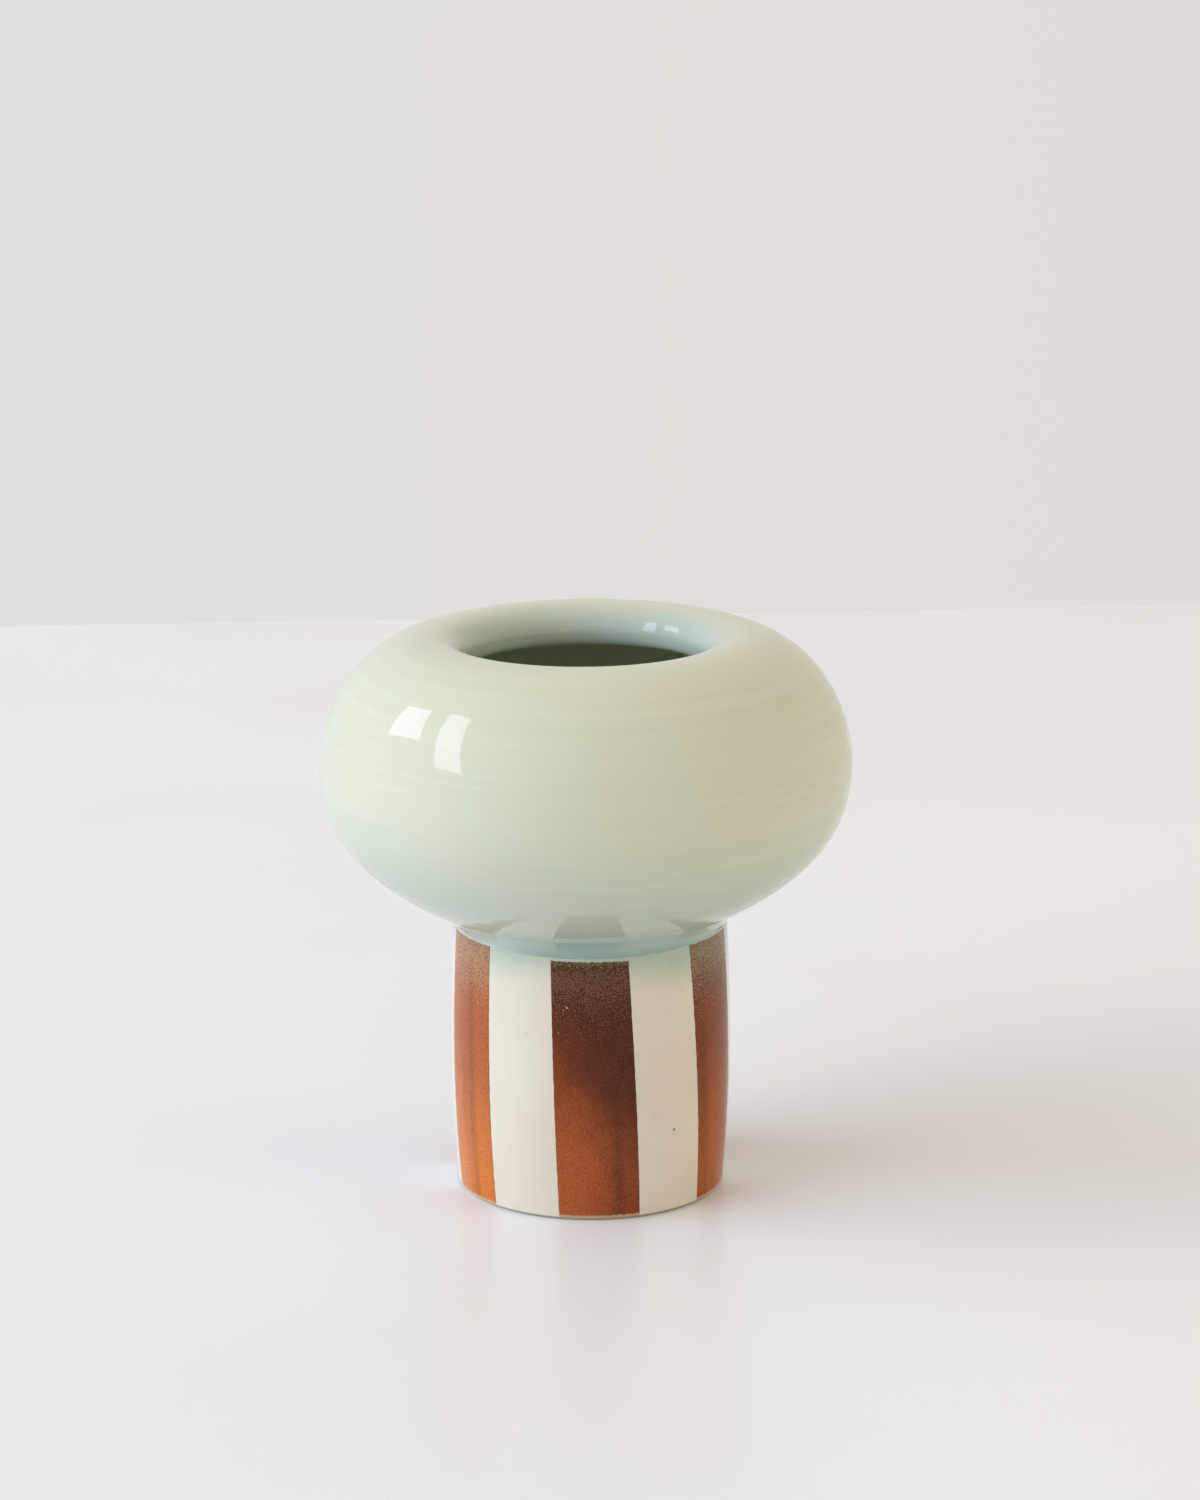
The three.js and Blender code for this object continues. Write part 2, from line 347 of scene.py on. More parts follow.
def slip_band_tree() -> bpy.types.NodeTree:
    """Builds the tree that lays one band of slip on a tube, wherever the tube's surface is.

    A thin slab of many cells is laid on the tube: its first direction goes round between two
    leaning edges, its second goes up between two uneven ends, and its third goes outwards. Each
    point is dropped on the tube by a ray towards the axis. The first two are kept as the UV map.

    Returns:
        The tree. Angles are in radians and lengths in metres.
    """
    lengths = (
        "Start At Foot", "Start At Top", "End At Foot", "End At Top", "Low", "High", "Axis X",
        "Outside Radius", "Width", "Thickness", "Proud", "Feather", "Side Wander", "Side Grain",
        "End Wander", "End Grain", "Seed",
    )
    others = {"Columns": "NodeSocketInt", "Rows": "NodeSocketInt", "Tube": "NodeSocketObject"}
    tree = geometry_tree("slip_band", lengths, others)
    given = add_node(tree, "NodeGroupInput").node.outputs
    slab = add_node(
        tree, "GeometryNodeMeshCube",
        {"Size": (1, 1, 1), "Vertices X": given["Columns"], "Vertices Y": given["Rows"], "Vertices Z": 2},
    )
    place = add_node(tree, "GeometryNodeInputPosition")
    share = add_node(tree, "ShaderNodeVectorMath", {0: place, 1: (0.5, 0.5, 0.5)}, operation="ADD")
    unwrapped = add_node(
        tree, "GeometryNodeStoreNamedAttribute", {"Geometry": slab, "Name": "UVMap", "Value": share},
        data_type="FLOAT2", domain="CORNER",
    )
    part = add_node(tree, "ShaderNodeSeparateXYZ", {0: share}).node.outputs

    ends = {}
    walk = add_node(tree, "ShaderNodeMath", {0: part["X"], 1: given["Width"]}, operation="MULTIPLY")
    along = add_node(tree, "ShaderNodeMath", {0: walk, 1: given["End Grain"]}, operation="DIVIDE")
    for number, end in enumerate(("Low", "High")):
        spot = add_node(tree, "ShaderNodeCombineXYZ", {0: along, 1: float(number)})
        ends[end] = uneven(tree, given[end], given["End Wander"], spot, given["Seed"])
    height = add_node(
        tree, "ShaderNodeMapRange", {"Value": part["Y"], "To Min": ends["Low"], "To Max": ends["High"]}
    )

    sides = {}
    climb = add_node(tree, "ShaderNodeMath", {0: height, 1: given["Side Grain"]}, operation="DIVIDE")
    wander = add_node(
        tree, "ShaderNodeMath", {0: given["Side Wander"], 1: given["Outside Radius"]}, operation="DIVIDE"
    )
    for number, side in enumerate(("Start", "End")):
        line = add_node(
            tree, "ShaderNodeMapRange",
            {"Value": part["Y"], "To Min": given[side + " At Foot"], "To Max": given[side + " At Top"]},
        )
        spot = add_node(tree, "ShaderNodeCombineXYZ", {1: float(number), 2: climb})
        sides[side] = uneven(tree, line, wander, spot, given["Seed"])
    angle = add_node(
        tree, "ShaderNodeMapRange", {"Value": part["X"], "To Min": sides["Start"], "To Max": sides["End"]}
    )

    sine = add_node(tree, "ShaderNodeMath", {0: angle}, operation="SINE")
    cosine = add_node(tree, "ShaderNodeMath", {0: angle}, operation="COSINE")
    front = add_node(tree, "ShaderNodeMath", {0: cosine, 1: -1.0}, operation="MULTIPLY")
    outwards = add_node(tree, "ShaderNodeCombineXYZ", {0: sine, 1: front})
    axis = add_node(tree, "ShaderNodeCombineXYZ", {0: given["Axis X"], 2: height})
    reach = add_node(
        tree, "ShaderNodeVectorMath", {0: outwards, "Scale": given["Outside Radius"]}, operation="SCALE"
    )
    outside = add_node(tree, "ShaderNodeVectorMath", {0: axis, 1: reach}, operation="ADD")
    inwards = add_node(tree, "ShaderNodeVectorMath", {0: outwards, "Scale": -1.0}, operation="SCALE")
    tube = add_node(tree, "GeometryNodeObjectInfo", {"Object": given["Tube"]}, output="Geometry")
    hit = add_node(
        tree, "GeometryNodeRaycast",
        {
            "Target Geometry": tube, "Source Position": outside, "Ray Direction": inwards,
            "Ray Length": given["Outside Radius"],
        },
        output="Hit Position",
    )

    far_side = add_node(tree, "ShaderNodeMath", {0: 1.0, 1: part["X"]}, operation="SUBTRACT")
    nearest = add_node(tree, "ShaderNodeMath", {0: part["X"], 1: far_side}, operation="MINIMUM")
    to_side = add_node(tree, "ShaderNodeMath", {0: nearest, 1: given["Width"]}, operation="MULTIPLY")
    sunk = add_node(tree, "ShaderNodeMath", {0: given["Proud"], 1: -FEATHER_SUNK}, operation="MULTIPLY")
    face = add_node(
        tree, "ShaderNodeMapRange",
        {"Value": to_side, "From Max": given["Feather"], "To Min": sunk, "To Max": given["Proud"]},
        interpolation_type="SMOOTHSTEP",
    )
    back = add_node(tree, "ShaderNodeMath", {0: given["Thickness"], 1: -1.0}, operation="MULTIPLY")
    offset = add_node(tree, "ShaderNodeMapRange", {"Value": part["Z"], "To Min": back, "To Max": face})
    lift = add_node(tree, "ShaderNodeVectorMath", {0: outwards, "Scale": offset}, operation="SCALE")
    laid = add_node(tree, "ShaderNodeVectorMath", {0: hit, 1: lift}, operation="ADD")
    band = add_node(tree, "GeometryNodeSetPosition", {"Geometry": unwrapped, "Position": laid})
    close_tree(tree, band, given["Material"])
    return tree


@dataclass(frozen=True)
class Fleck:
    """A spot fired into the glaze of the tube."""

    angle: float  # degrees
    height: float
    radius: float
    colour: str
    cover: float = 0.9


@dataclass(frozen=True)
class Noise:
    """A noise pattern whose features have a real size."""

    size: float
    detail: float  # how many finer octaves it has
    seed: float
    stretch: tuple[float, float, float] = (1, 1, 1)  # how many times finer it is along each axis

    def sown(self, seed: float) -> "Noise":
        """The same pattern with another seed added to its own."""
        return replace(self, seed=self.seed + seed)


@dataclass(frozen=True)
class Ramp:
    """How a layer grows as a value goes from one number to another."""

    none_at: float
    full_at: float
    most: float = 1.0  # the most that shows, from 0 to 1

    def scaled(self, scale: float, start: float = 0.0) -> "Ramp":
        """The same ramp in other units, counted from a start."""
        return Ramp(start + self.none_at * scale, start + self.full_at * scale, self.most)

    def up_to(self, most: float) -> "Ramp":
        """The same ramp, of which this much shows at most."""
        return replace(self, most=most)


class Finish:
    """Shared way of building a glazed finish, one layer of colour over another."""

    def __init__(self, name: str) -> None:
        """Starts a material with a Principled shader on its output.

        Args:
            name: The material's name.
        """
        self.made = bpy.data.materials.new(name)
        self.made.use_nodes = True
        self.tree = self.made.node_tree
        self.tree.nodes.clear()
        self.shader = add_node(self.tree, "ShaderNodeBsdfPrincipled").node
        add_node(self.tree, "ShaderNodeOutputMaterial", {"Surface": self.shader.outputs[0]})
        coordinates = add_node(self.tree, "ShaderNodeTexCoord").node.outputs
        self.where, self.unwrapped = coordinates["Object"], coordinates["UV"]
        self.height = add_node(self.tree, "ShaderNodeSeparateXYZ", {0: self.where}, output="Z")
        self.colour: bpy.types.NodeSocket | Colour = (0.0, 0.0, 0.0, 1.0)

    def pattern(self, noise: Noise, source: bpy.types.NodeSocket | None = None) -> bpy.types.NodeSocket:
        """Adds a noise pattern.

        Args:
            noise: The pattern.
            source: Coordinates in metres, or None for the object's own.

        Returns:
            The noise, from 0 to 1.
        """
        mapped = add_node(
            self.tree, "ShaderNodeMapping", {"Vector": source or self.where, "Scale": noise.stretch}
        )
        return add_node(
            self.tree, "ShaderNodeTexNoise",
            {"Vector": mapped, "W": noise.seed, "Scale": 1 / (noise.size * MM), "Detail": noise.detail},
            noise_dimensions="4D",
        )

    def out_from(self, axis_x: float) -> bpy.types.NodeSocket:
        """Adds the distance from an upright axis.

        Args:
            axis_x: X of the axis.

        Returns:
            The distance in metres.
        """
        flat = add_node(
            self.tree, "ShaderNodeVectorMath", {0: self.where, 1: (1, 1, 0)}, operation="MULTIPLY"
        )
        return add_node(
            self.tree, "ShaderNodeVectorMath", {0: flat, 1: (axis_x * MM, 0, 0)}, output="Value",
            operation="DISTANCE",
        )

    def lay(
        self, code: str, value: bpy.types.NodeSocket, ramp: Ramp, blend: Blend = Blend.COVER
    ) -> None:
        """Lays a colour over what is there.

        Args:
            code: The colour laid on.
            value: What decides where it shows.
            ramp: How it grows with that value.
            blend: How it is laid over.
        """
        share = add_node(
            self.tree, "ShaderNodeMapRange",
            {"Value": value, "From Min": ramp.none_at, "From Max": ramp.full_at, "To Max": ramp.most},
            interpolation_type="SMOOTHSTEP",
        )
        self.colour = add_node(
            self.tree, "ShaderNodeMix", {0: share, 6: self.colour, 7: to_linear(code)}, output=2,
            data_type="RGBA", blend_type=blend.value,
        )

    def spot(self, fleck: Fleck, axis_x: float, radius: Radius) -> None:
        """Lays one fleck on the tube's surface.

        Args:
            fleck: The fleck.
            axis_x: X of the tube's axis.
            radius: The tube's radius by height.
        """
        angle, out = math.radians(fleck.angle), radius(fleck.height)
        x, y = axis_x + out * math.sin(angle), -out * math.cos(angle)
        centre = (x * MM, y * MM, fleck.height * MM)
        away = add_node(
            self.tree, "ShaderNodeVectorMath", {0: self.where, 1: centre}, output="Value",
            operation="DISTANCE",
        )
        self.lay(fleck.colour, away, Ramp(fleck.radius * MM, fleck.radius * MM / 2, fleck.cover))

    def close(
        self, roughness: float, ior: float, relief: bpy.types.NodeSocket, relief_depth: float,
        gloss: float = 0.5,
    ) -> bpy.types.Material:
        """Sets the gloss and the relief, and links the colour.

        Args:
            roughness: Roughness of the surface.
            ior: Its index of refraction.
            relief: Height pattern, from 0 to 1.
            relief_depth: What 1 stands for in millimetres.
            gloss: Its specular level, where 0.5 is what its index alone gives.

        Returns:
            The material.
        """
        bump = add_node(
            self.tree, "ShaderNodeBump", {"Height": relief, "Distance": relief_depth * MM}
        )
        self.tree.links.new(bump, self.shader.inputs["Normal"])
        self.tree.links.new(self.colour, self.shader.inputs["Base Color"])
        self.shader.inputs["Roughness"].default_value = roughness
        self.shader.inputs["IOR"].default_value = ior
        self.shader.inputs["Specular IOR Level"].default_value = gloss
        return self.made


@dataclass(frozen=True)
class CeladonGlaze:
    """Celadon: a glossy, faintly iron-green glaze dipped over pale stoneware.

    It is straw-pale where it is thin over the shoulder and bluer green where it has run down
    and gathered. Inside the mouth and round the neck hole it is bluer where it pooled, and darker
    as painted shade. Fine throwing lines show through it.
    """

    usual: str = "#C9CDB6"
    thin: str = "#D2D0B4"
    gathered: str = "#BBCBBA"
    line: str = "#DDE2D2"
    # bluer where the glaze pooled in the lip's roll, and darker as painted shade inside the mouth
    inside: str = "#A6B7AB"
    speck: str = "#8C8266"
    roughness: float = 0.03
    ior: float = 1.52
    clouds: Noise = Noise(16.0, 2.0, 3.0, (1, 1, 1.6))
    lines: Noise = Noise(0.7, 1.0, 5.0, (0.02, 0.02, 1.0))
    orange_peel: Noise = Noise(4.5, 1.0, 9.0)
    drag: float = 0.35  # how far down the clouds drag it, as a share of the bulb's height
    gathers: Ramp = Ramp(0.42, -0.1)  # by the share of the bulb's height
    thins: Ramp = Ramp(0.55, 1.05, 0.7)
    raised_lines: Ramp = Ramp(0.52, 0.72, 0.12)
    sunk_lines: Ramp = Ramp(0.45, 0.28, 0.05)
    inside_cover: float = 0.85
    speck_spacing: float = 9.0
    specks: Ramp = Ramp(0.026, 0.012, 0.5)  # by the share of their spacing
    line_relief: float = 0.25
    relief_depth: float = 0.012

    def material(self, bottom: float, top: float, crest: float, mouth: float) -> bpy.types.Material:
        """Builds the glaze for a bulb between two heights.

        Args:
            bottom: Lowest height.
            top: Highest height.
            crest: Radius of the lip's crest.
            mouth: Radius of the mouth.

        Returns:
            The material.
        """
        finish = Finish("celadon_glaze_dipped")
        tree, foot, tall = finish.tree, bottom * MM, (top - bottom) * MM
        finish.colour = to_linear(self.usual)
        ran_down = add_node(
            tree, "ShaderNodeMath", {0: finish.pattern(self.clouds), 1: -self.drag * tall, 2: finish.height},
            operation="MULTIPLY_ADD",
        )
        finish.lay(self.gathered, ran_down, self.gathers.scaled(tall, foot))
        finish.lay(self.thin, ran_down, self.thins.scaled(tall, foot))
        lines = finish.pattern(self.lines)
        finish.lay(self.line, lines, self.raised_lines)
        finish.lay(self.gathered, lines, self.sunk_lines, Blend.STAIN)
        # Inside the mouth and round the neck hole: bluer pooled glaze, and painted shade that darkens it.
        finish.lay(self.inside, finish.out_from(0.0), Ramp(crest, mouth, self.inside_cover).scaled(MM))
        cells = add_node(
            tree, "ShaderNodeTexVoronoi",
            {"Vector": finish.where, "Scale": 1 / (self.speck_spacing * MM)}, output="Distance",
        )
        finish.lay(self.speck, cells, self.specks)
        relief = add_node(
            tree, "ShaderNodeMath", {0: lines, 1: self.line_relief, 2: finish.pattern(self.orange_peel)},
            operation="MULTIPLY_ADD",
        )
        return finish.close(self.roughness, self.ior, relief, self.relief_depth)


@dataclass(frozen=True)
class PooledGlaze:
    """Celadon gathered thick in the crease, where its iron shows blue-green and glassy."""

    deep: str = "#8FAAA0"
    shallow: str = "#A9BDB0"
    thin: str = "#CBDAD2"
    # painted light: this pale colour is laid on the collar's left, the side towards the window
    roughness: float = 0.04
    ior: float = 1.52
    patches: Noise = Noise(7.0, 2.0, 2.0)
    patch_lift: float = 1.4  # how far up the patches move its edge
    shallows: Ramp = Ramp(0.9, 2.4, 0.9)  # by the height above its foot
    thins: Ramp = Ramp(-3.0, -16.0, 0.9)  # painted light: by x, paler towards the left, the side the window lights
    relief_depth: float = 0.02

    def material(self, bottom: float) -> bpy.types.Material:
        """Builds the glaze, deepest in the hollow of the crease, with painted light laid paler towards the
        left.

        Args:
            bottom: Its lowest height.

        Returns:
            The material.
        """
        finish = Finish("celadon_glaze_pooled")
        finish.colour = to_linear(self.deep)
        patches = finish.pattern(self.patches)
        level = add_node(
            finish.tree, "ShaderNodeMath", {0: patches, 1: self.patch_lift * MM, 2: finish.height},
            operation="MULTIPLY_ADD",
        )
        finish.lay(self.shallow, level, self.shallows.scaled(MM, bottom * MM))
        side = add_node(finish.tree, "ShaderNodeSeparateXYZ", {0: finish.where}, output="X")
        # Painted light: the collar is laid paler towards the left, where the window lights it.
        finish.lay(self.thin, side, self.thins.scaled(MM))
        return finish.close(self.roughness, self.ior, patches, self.relief_depth)


@dataclass(frozen=True)
class CreamStoneware:
    """Cream stoneware thrown and dipped in a clear glossy glaze, with a wiped, bare foot.

    Celadon has run a little way down over its top. The glaze stops in a thin grey-green line
    just above the foot, and the clay is matt and buff on the foot and inside.
    """

    body: str = "#D9D2C1"
    warm: str = "#D2C7B3"
    run_over: str = "#ABBDAA"
    glaze_line: str = "#7F8E80"
    bare_clay: str = "#DDC7AA"
    roughness: float = 0.09
    clay_roughness: float = 0.8
    ior: float = 1.5
    tone: Noise = Noise(9.0, 3.0, 4.0)
    warms: Ramp = Ramp(0.35, 0.75, 0.5)
    ragged: Noise = Noise(5.0, 3.0, 6.0, (1, 1, 0.6))
    run_length: float = 5.0
    run_tilt: float = 1.2  # how much further it ran on the right than in the middle
    run_covers: Ramp = Ramp(-5.5, 0.2)  # by the height above the middle of its ragged edge
    line_height: float = 0.28
    line_width: float = 0.12
    line_cover: float = 0.9
    clay_grain: Noise = Noise(0.5, 3.0, 8.0)
    grain_shows: Ramp = Ramp(0.4, 0.7, 0.6)
    orange_peel: Noise = Noise(3.0, 1.0, 11.0)
    clay_relief: float = 2.0
    relief_depth: float = 0.015
    flecks: tuple[Fleck, ...] = (
        Fleck(angle=36.1, height=10.3, radius=0.24, colour="#4F7560"),
        Fleck(angle=-26.9, height=22.3, radius=0.4, colour="#CFC7A2"),
        Fleck(angle=23.5, height=8.5, radius=0.08, colour="#6F7468"),
    )

    def material(self, axis_x: float, radius: Radius, top: float, inside: float) -> bpy.types.Material:
        """Builds the tube's finish.

        Args:
            axis_x: X of the tube's axis.
            radius: The tube's radius by height.
            top: Height of the tube's top.
            inside: Radius within which the clay is bare.

        Returns:
            The material.
        """
        finish = Finish("cream_stoneware_clear_glazed")
        tree = finish.tree
        finish.colour = to_linear(self.body)
        finish.lay(self.warm, finish.pattern(self.tone), self.warms)
        side = add_node(tree, "ShaderNodeSeparateXYZ", {0: finish.where}, output="X")
        tilted = add_node(
            tree, "ShaderNodeMath", {0: side, 1: self.run_tilt / radius(top), 2: finish.height},
            operation="MULTIPLY_ADD",
        )
        level = add_node(
            tree, "ShaderNodeMath",
            {0: finish.pattern(self.ragged), 1: self.run_length * MM, 2: tilted},
            operation="MULTIPLY_ADD",
        )
        edge = (top + self.run_length / 2) * MM
        finish.lay(self.run_over, level, self.run_covers.scaled(MM, edge))
        for fleck in self.flecks:
            finish.spot(fleck, axis_x, radius)
        line = Ramp(self.line_height + self.line_width, self.line_height, self.line_cover)
        finish.lay(self.glaze_line, finish.height, line.scaled(MM))
        low = add_node(
            tree, "ShaderNodeMath", {0: finish.height, 1: (self.line_height - self.line_width) * MM},
            operation="LESS_THAN",
        )
        within = add_node(
            tree, "ShaderNodeMath", {0: finish.out_from(axis_x), 1: inside * MM}, operation="LESS_THAN"
        )
        bare = add_node(tree, "ShaderNodeMath", {0: low, 1: within}, operation="MAXIMUM")
        finish.lay(self.bare_clay, bare, Ramp(0.0, 1.0))
        speckled = add_node(
            tree, "ShaderNodeMath", {0: finish.pattern(self.clay_grain), 1: bare}, operation="MULTIPLY"
        )
        finish.lay(self.warm, speckled, self.grain_shows)
        rough = add_node(
            tree, "ShaderNodeMapRange",
            {"Value": bare, "To Min": self.roughness, "To Max": self.clay_roughness},
        )
        tree.links.new(rough, finish.shader.inputs["Roughness"])
        relief = add_node(
            tree, "ShaderNodeMath", {0: speckled, 1: self.clay_relief, 2: finish.pattern(self.orange_peel)},
            operation="MULTIPLY_ADD",
        )
        return finish.close(self.roughness, self.ior, relief, self.relief_depth)


@dataclass(frozen=True)
class Band:
    """One band of slip: its node, its edges and how its slip was laid.

    Angles are taken at the tube's middle, and a lean is the degrees that an edge drifts towards
    +X for each millimetre down.
    """

    node: str
    start: float
    start_lean: float
    end: float
    end_lean: float
    top: float
    foot: str  # colour at the foot, where the brush left it thinnest
    middle: str
    haze: str  # colour at the top, where celadon has run over it
    hazed: float  # how strongly it does
    dark_from: float  # share of the length above which the slip lies thick
    slant: float  # how much further down it lies thick at the right edge
    shade: float  # how dark its right half is: thicker slip, and painted shade away from the window
    streak: float  # how strongly the brush streaked it
    overlap: float  # share of the width at which two strokes overlap
    crust: float  # how dark and mottled the upper edge is
    gloss: float  # specular level, lower where the slip is thick and dry
    seed: float
    flecks: tuple[Fleck, ...] = ()


@dataclass(frozen=True)
class BrownSlip:
    """Iron-brown slip brushed on in bands under a clear glossy glaze.

    It is orange-brown and streaked where the brush left it thin, near black where it lies thick,
    and greyed at the top, where celadon has run over it. A thin dark outline and a straw-green
    halo follow its edges. Ramps by height or width count in shares of the band's own.
    """

    thick: str = "#51230A"
    light_grain: str = "#B08C70"
    dark_grain: str = "#6C665E"
    crust: str = "#301B0B"
    outline: str = "#43200E"
    halo: str = "#CBBE90"
    foot_edge: str = "#C9A57C"
    dust: str = "#8D7B52"
    roughness: float = 0.12
    ior: float = 1.5
    streaks: Noise = Noise(3.0, 3.0, 0.0, (1, 0.06, 1))
    clouds: Noise = Noise(3.5, 2.0, 1.0, (1, 0.8, 1))
    grain: Noise = Noise(0.16, 1.0, 2.0)
    mottle: Noise = Noise(0.4, 2.0, 3.0)
    cloud_lift: float = 0.25  # how far the clouds move what goes by height
    cloud_shift: float = 0.5  # how far they move what goes by width
    thins: Ramp = Ramp(0.8, 0.24)  # by height
    streak_shows: Ramp = Ramp(0.48, 0.68)
    # darkens the right half: thicker slip, and painted shade where the band turns from the window
    shade_shows: Ramp = Ramp(0.5, 1.05)  # by width
    thickens: Ramp = Ramp(0.03, 0.47, 0.96)  # by height above where the slip starts to lie thick
    thick_grain: float = 0.3  # how far the grain breaks that up
    overlap_width: float = 1.1
    overlap_cover: float = 0.3
    hazes: Ramp = Ramp(1.1, 1.4)  # by height, lifted by the grain
    haze_grain: float = 0.7
    light_shows: Ramp = Ramp(0.5, 0.7, 0.08)
    dark_shows: Ramp = Ramp(0.56, 0.36, 0.42)
    outline_width: float = 0.18
    halo_width: float = 0.07
    edge_cover: float = 0.8
    crust_raggedness: float = 5.0
    crust_shows: Ramp = Ramp(-1.1, -1.7)  # by the way down, raised by its raggedness
    top_edge: Ramp = Ramp(0.25, 0.1)  # by the way down
    dust_raggedness: float = 4.0
    dust_shows: Ramp = Ramp(-1.3, -2.1)
    dust_cover: float = 0.8
    foot_shows: Ramp = Ramp(0.38, 0.22, 0.85)  # by the way up
    streak_relief: float = 0.6
    relief_depth: float = 0.008

    def lay_body(
        self, finish: Finish, band: Band, width: float, streaks: bpy.types.NodeSocket,
        clouds: bpy.types.NodeSocket, grain: bpy.types.NodeSocket,
    ) -> None:
        """Lays the slip itself, thin to thick with painted shade on its right half, then the haze
        and the grain over it.

        Args:
            finish: The finish to lay it in.
            band: The band.
            width: Its width.
            streaks: Pattern of the brush's streaks.
            clouds: Pattern of how thick the slip lies.
            grain: Pattern of its grain.
        """
        tree = finish.tree
        part = add_node(tree, "ShaderNodeSeparateXYZ", {0: finish.unwrapped}).node.outputs
        across, along = part["X"], part["Y"]
        finish.colour = to_linear(band.middle)
        height = add_node(
            tree, "ShaderNodeMath", {0: clouds, 1: self.cloud_lift, 2: along}, operation="MULTIPLY_ADD"
        )
        finish.lay(band.foot, height, self.thins)
        finish.lay(self.thick, streaks, self.streak_shows.up_to(band.streak))
        # Thicker slip and painted shade: the right half, turned away from the window, is laid darker.
        sideways = add_node(
            tree, "ShaderNodeMath", {0: clouds, 1: self.cloud_shift, 2: across}, operation="MULTIPLY_ADD"
        )
        finish.lay(self.thick, sideways, self.shade_shows.up_to(band.shade))
        leaned = add_node(
            tree, "ShaderNodeMath", {0: across, 1: band.slant, 2: height}, operation="MULTIPLY_ADD"
        )
        thickness = add_node(
            tree, "ShaderNodeMath", {0: grain, 1: self.thick_grain, 2: leaned}, operation="MULTIPLY_ADD"
        )
        finish.lay(self.thick, thickness, self.thickens.scaled(1.0, band.dark_from + band.slant / 2))
        stroke = add_node(tree, "ShaderNodeMath", {0: across, 1: band.overlap}, operation="SUBTRACT")
        beside = add_node(tree, "ShaderNodeMath", {0: stroke}, operation="ABSOLUTE")
        reach = self.overlap_width / width
        wavering = add_node(
            tree, "ShaderNodeMath", {0: streaks, 1: -reach, 2: beside}, operation="MULTIPLY_ADD"
        )
        finish.lay(self.thick, wavering, Ramp(reach / 2, -reach / 2, self.overlap_cover))
        hazy = add_node(
            tree, "ShaderNodeMath", {0: grain, 1: self.haze_grain, 2: along}, operation="MULTIPLY_ADD"
        )
        finish.lay(band.haze, hazy, self.hazes.up_to(band.hazed))
        finish.lay(self.light_grain, grain, self.light_shows)
        finish.lay(self.dark_grain, grain, self.dark_shows, Blend.STAIN)

    def lay_edges(
        self, finish: Finish, band: Band, width: float, length: float, grain: bpy.types.NodeSocket
    ) -> None:
        """Lays the outline, the crust and its dust along the top, and the pale foot.

        Args:
            finish: The finish to lay them in.
            band: The band.
            width: Its width.
            length: Its length.
            grain: Pattern of its grain.
        """
        tree = finish.tree
        part = add_node(tree, "ShaderNodeSeparateXYZ", {0: finish.unwrapped}).node.outputs
        far_side = add_node(tree, "ShaderNodeMath", {0: 1.0, 1: part["X"]}, operation="SUBTRACT")
        nearest = add_node(tree, "ShaderNodeMath", {0: part["X"], 1: far_side}, operation="MINIMUM")
        side = add_node(tree, "ShaderNodeMath", {0: nearest, 1: width}, operation="MULTIPLY")
        dark = Ramp(self.outline_width + self.halo_width, self.outline_width / 2, self.edge_cover)
        finish.lay(self.outline, side, dark)
        finish.lay(self.halo, side, Ramp(self.halo_width, self.halo_width / 2, self.edge_cover))
        rest = add_node(tree, "ShaderNodeMath", {0: 1.0, 1: part["Y"]}, operation="SUBTRACT")
        down = add_node(tree, "ShaderNodeMath", {0: rest, 1: length}, operation="MULTIPLY")
        mottle = finish.pattern(self.mottle.sown(band.seed))
        crusted = add_node(
            tree, "ShaderNodeMath", {0: mottle, 1: -self.crust_raggedness, 2: down}, operation="MULTIPLY_ADD"
        )
        finish.lay(self.crust, crusted, self.crust_shows.up_to(band.crust))
        finish.lay(self.crust, down, self.top_edge.up_to(band.crust))
        dusted = add_node(
            tree, "ShaderNodeMath", {0: grain, 1: -self.dust_raggedness, 2: down}, operation="MULTIPLY_ADD"
        )
        finish.lay(self.dust, dusted, self.dust_shows.up_to(band.crust * self.dust_cover))
        up = add_node(tree, "ShaderNodeMath", {0: part["Y"], 1: length}, operation="MULTIPLY")
        finish.lay(self.foot_edge, up, self.foot_shows)

    def material(
        self, band: Band, width: float, length: float, axis_x: float, radius: Radius
    ) -> bpy.types.Material:
        """Builds the slip of one band.

        Args:
            band: The band.
            width: Its width.
            length: Its length.
            axis_x: X of the tube's axis.
            radius: The tube's radius by height.

        Returns:
            The material.
        """
        finish = Finish("brown_slip_brushed_" + band.node)
        tree = finish.tree
        flat = add_node(
            tree, "ShaderNodeMapping", {"Vector": finish.unwrapped, "Scale": (width * MM, length * MM, 1)}
        )
        streaks = finish.pattern(self.streaks.sown(band.seed), flat)
        clouds = finish.pattern(self.clouds.sown(band.seed), flat)
        grain = finish.pattern(self.grain.sown(band.seed))
        self.lay_body(finish, band, width, streaks, clouds, grain)
        self.lay_edges(finish, band, width, length, grain)
        for fleck in band.flecks:
            finish.spot(fleck, axis_x, radius)
        relief = add_node(
            tree, "ShaderNodeMath", {0: streaks, 1: self.streak_relief, 2: grain}, operation="MULTIPLY_ADD"
        )
        return finish.close(self.roughness, self.ior, relief, self.relief_depth, band.gloss)


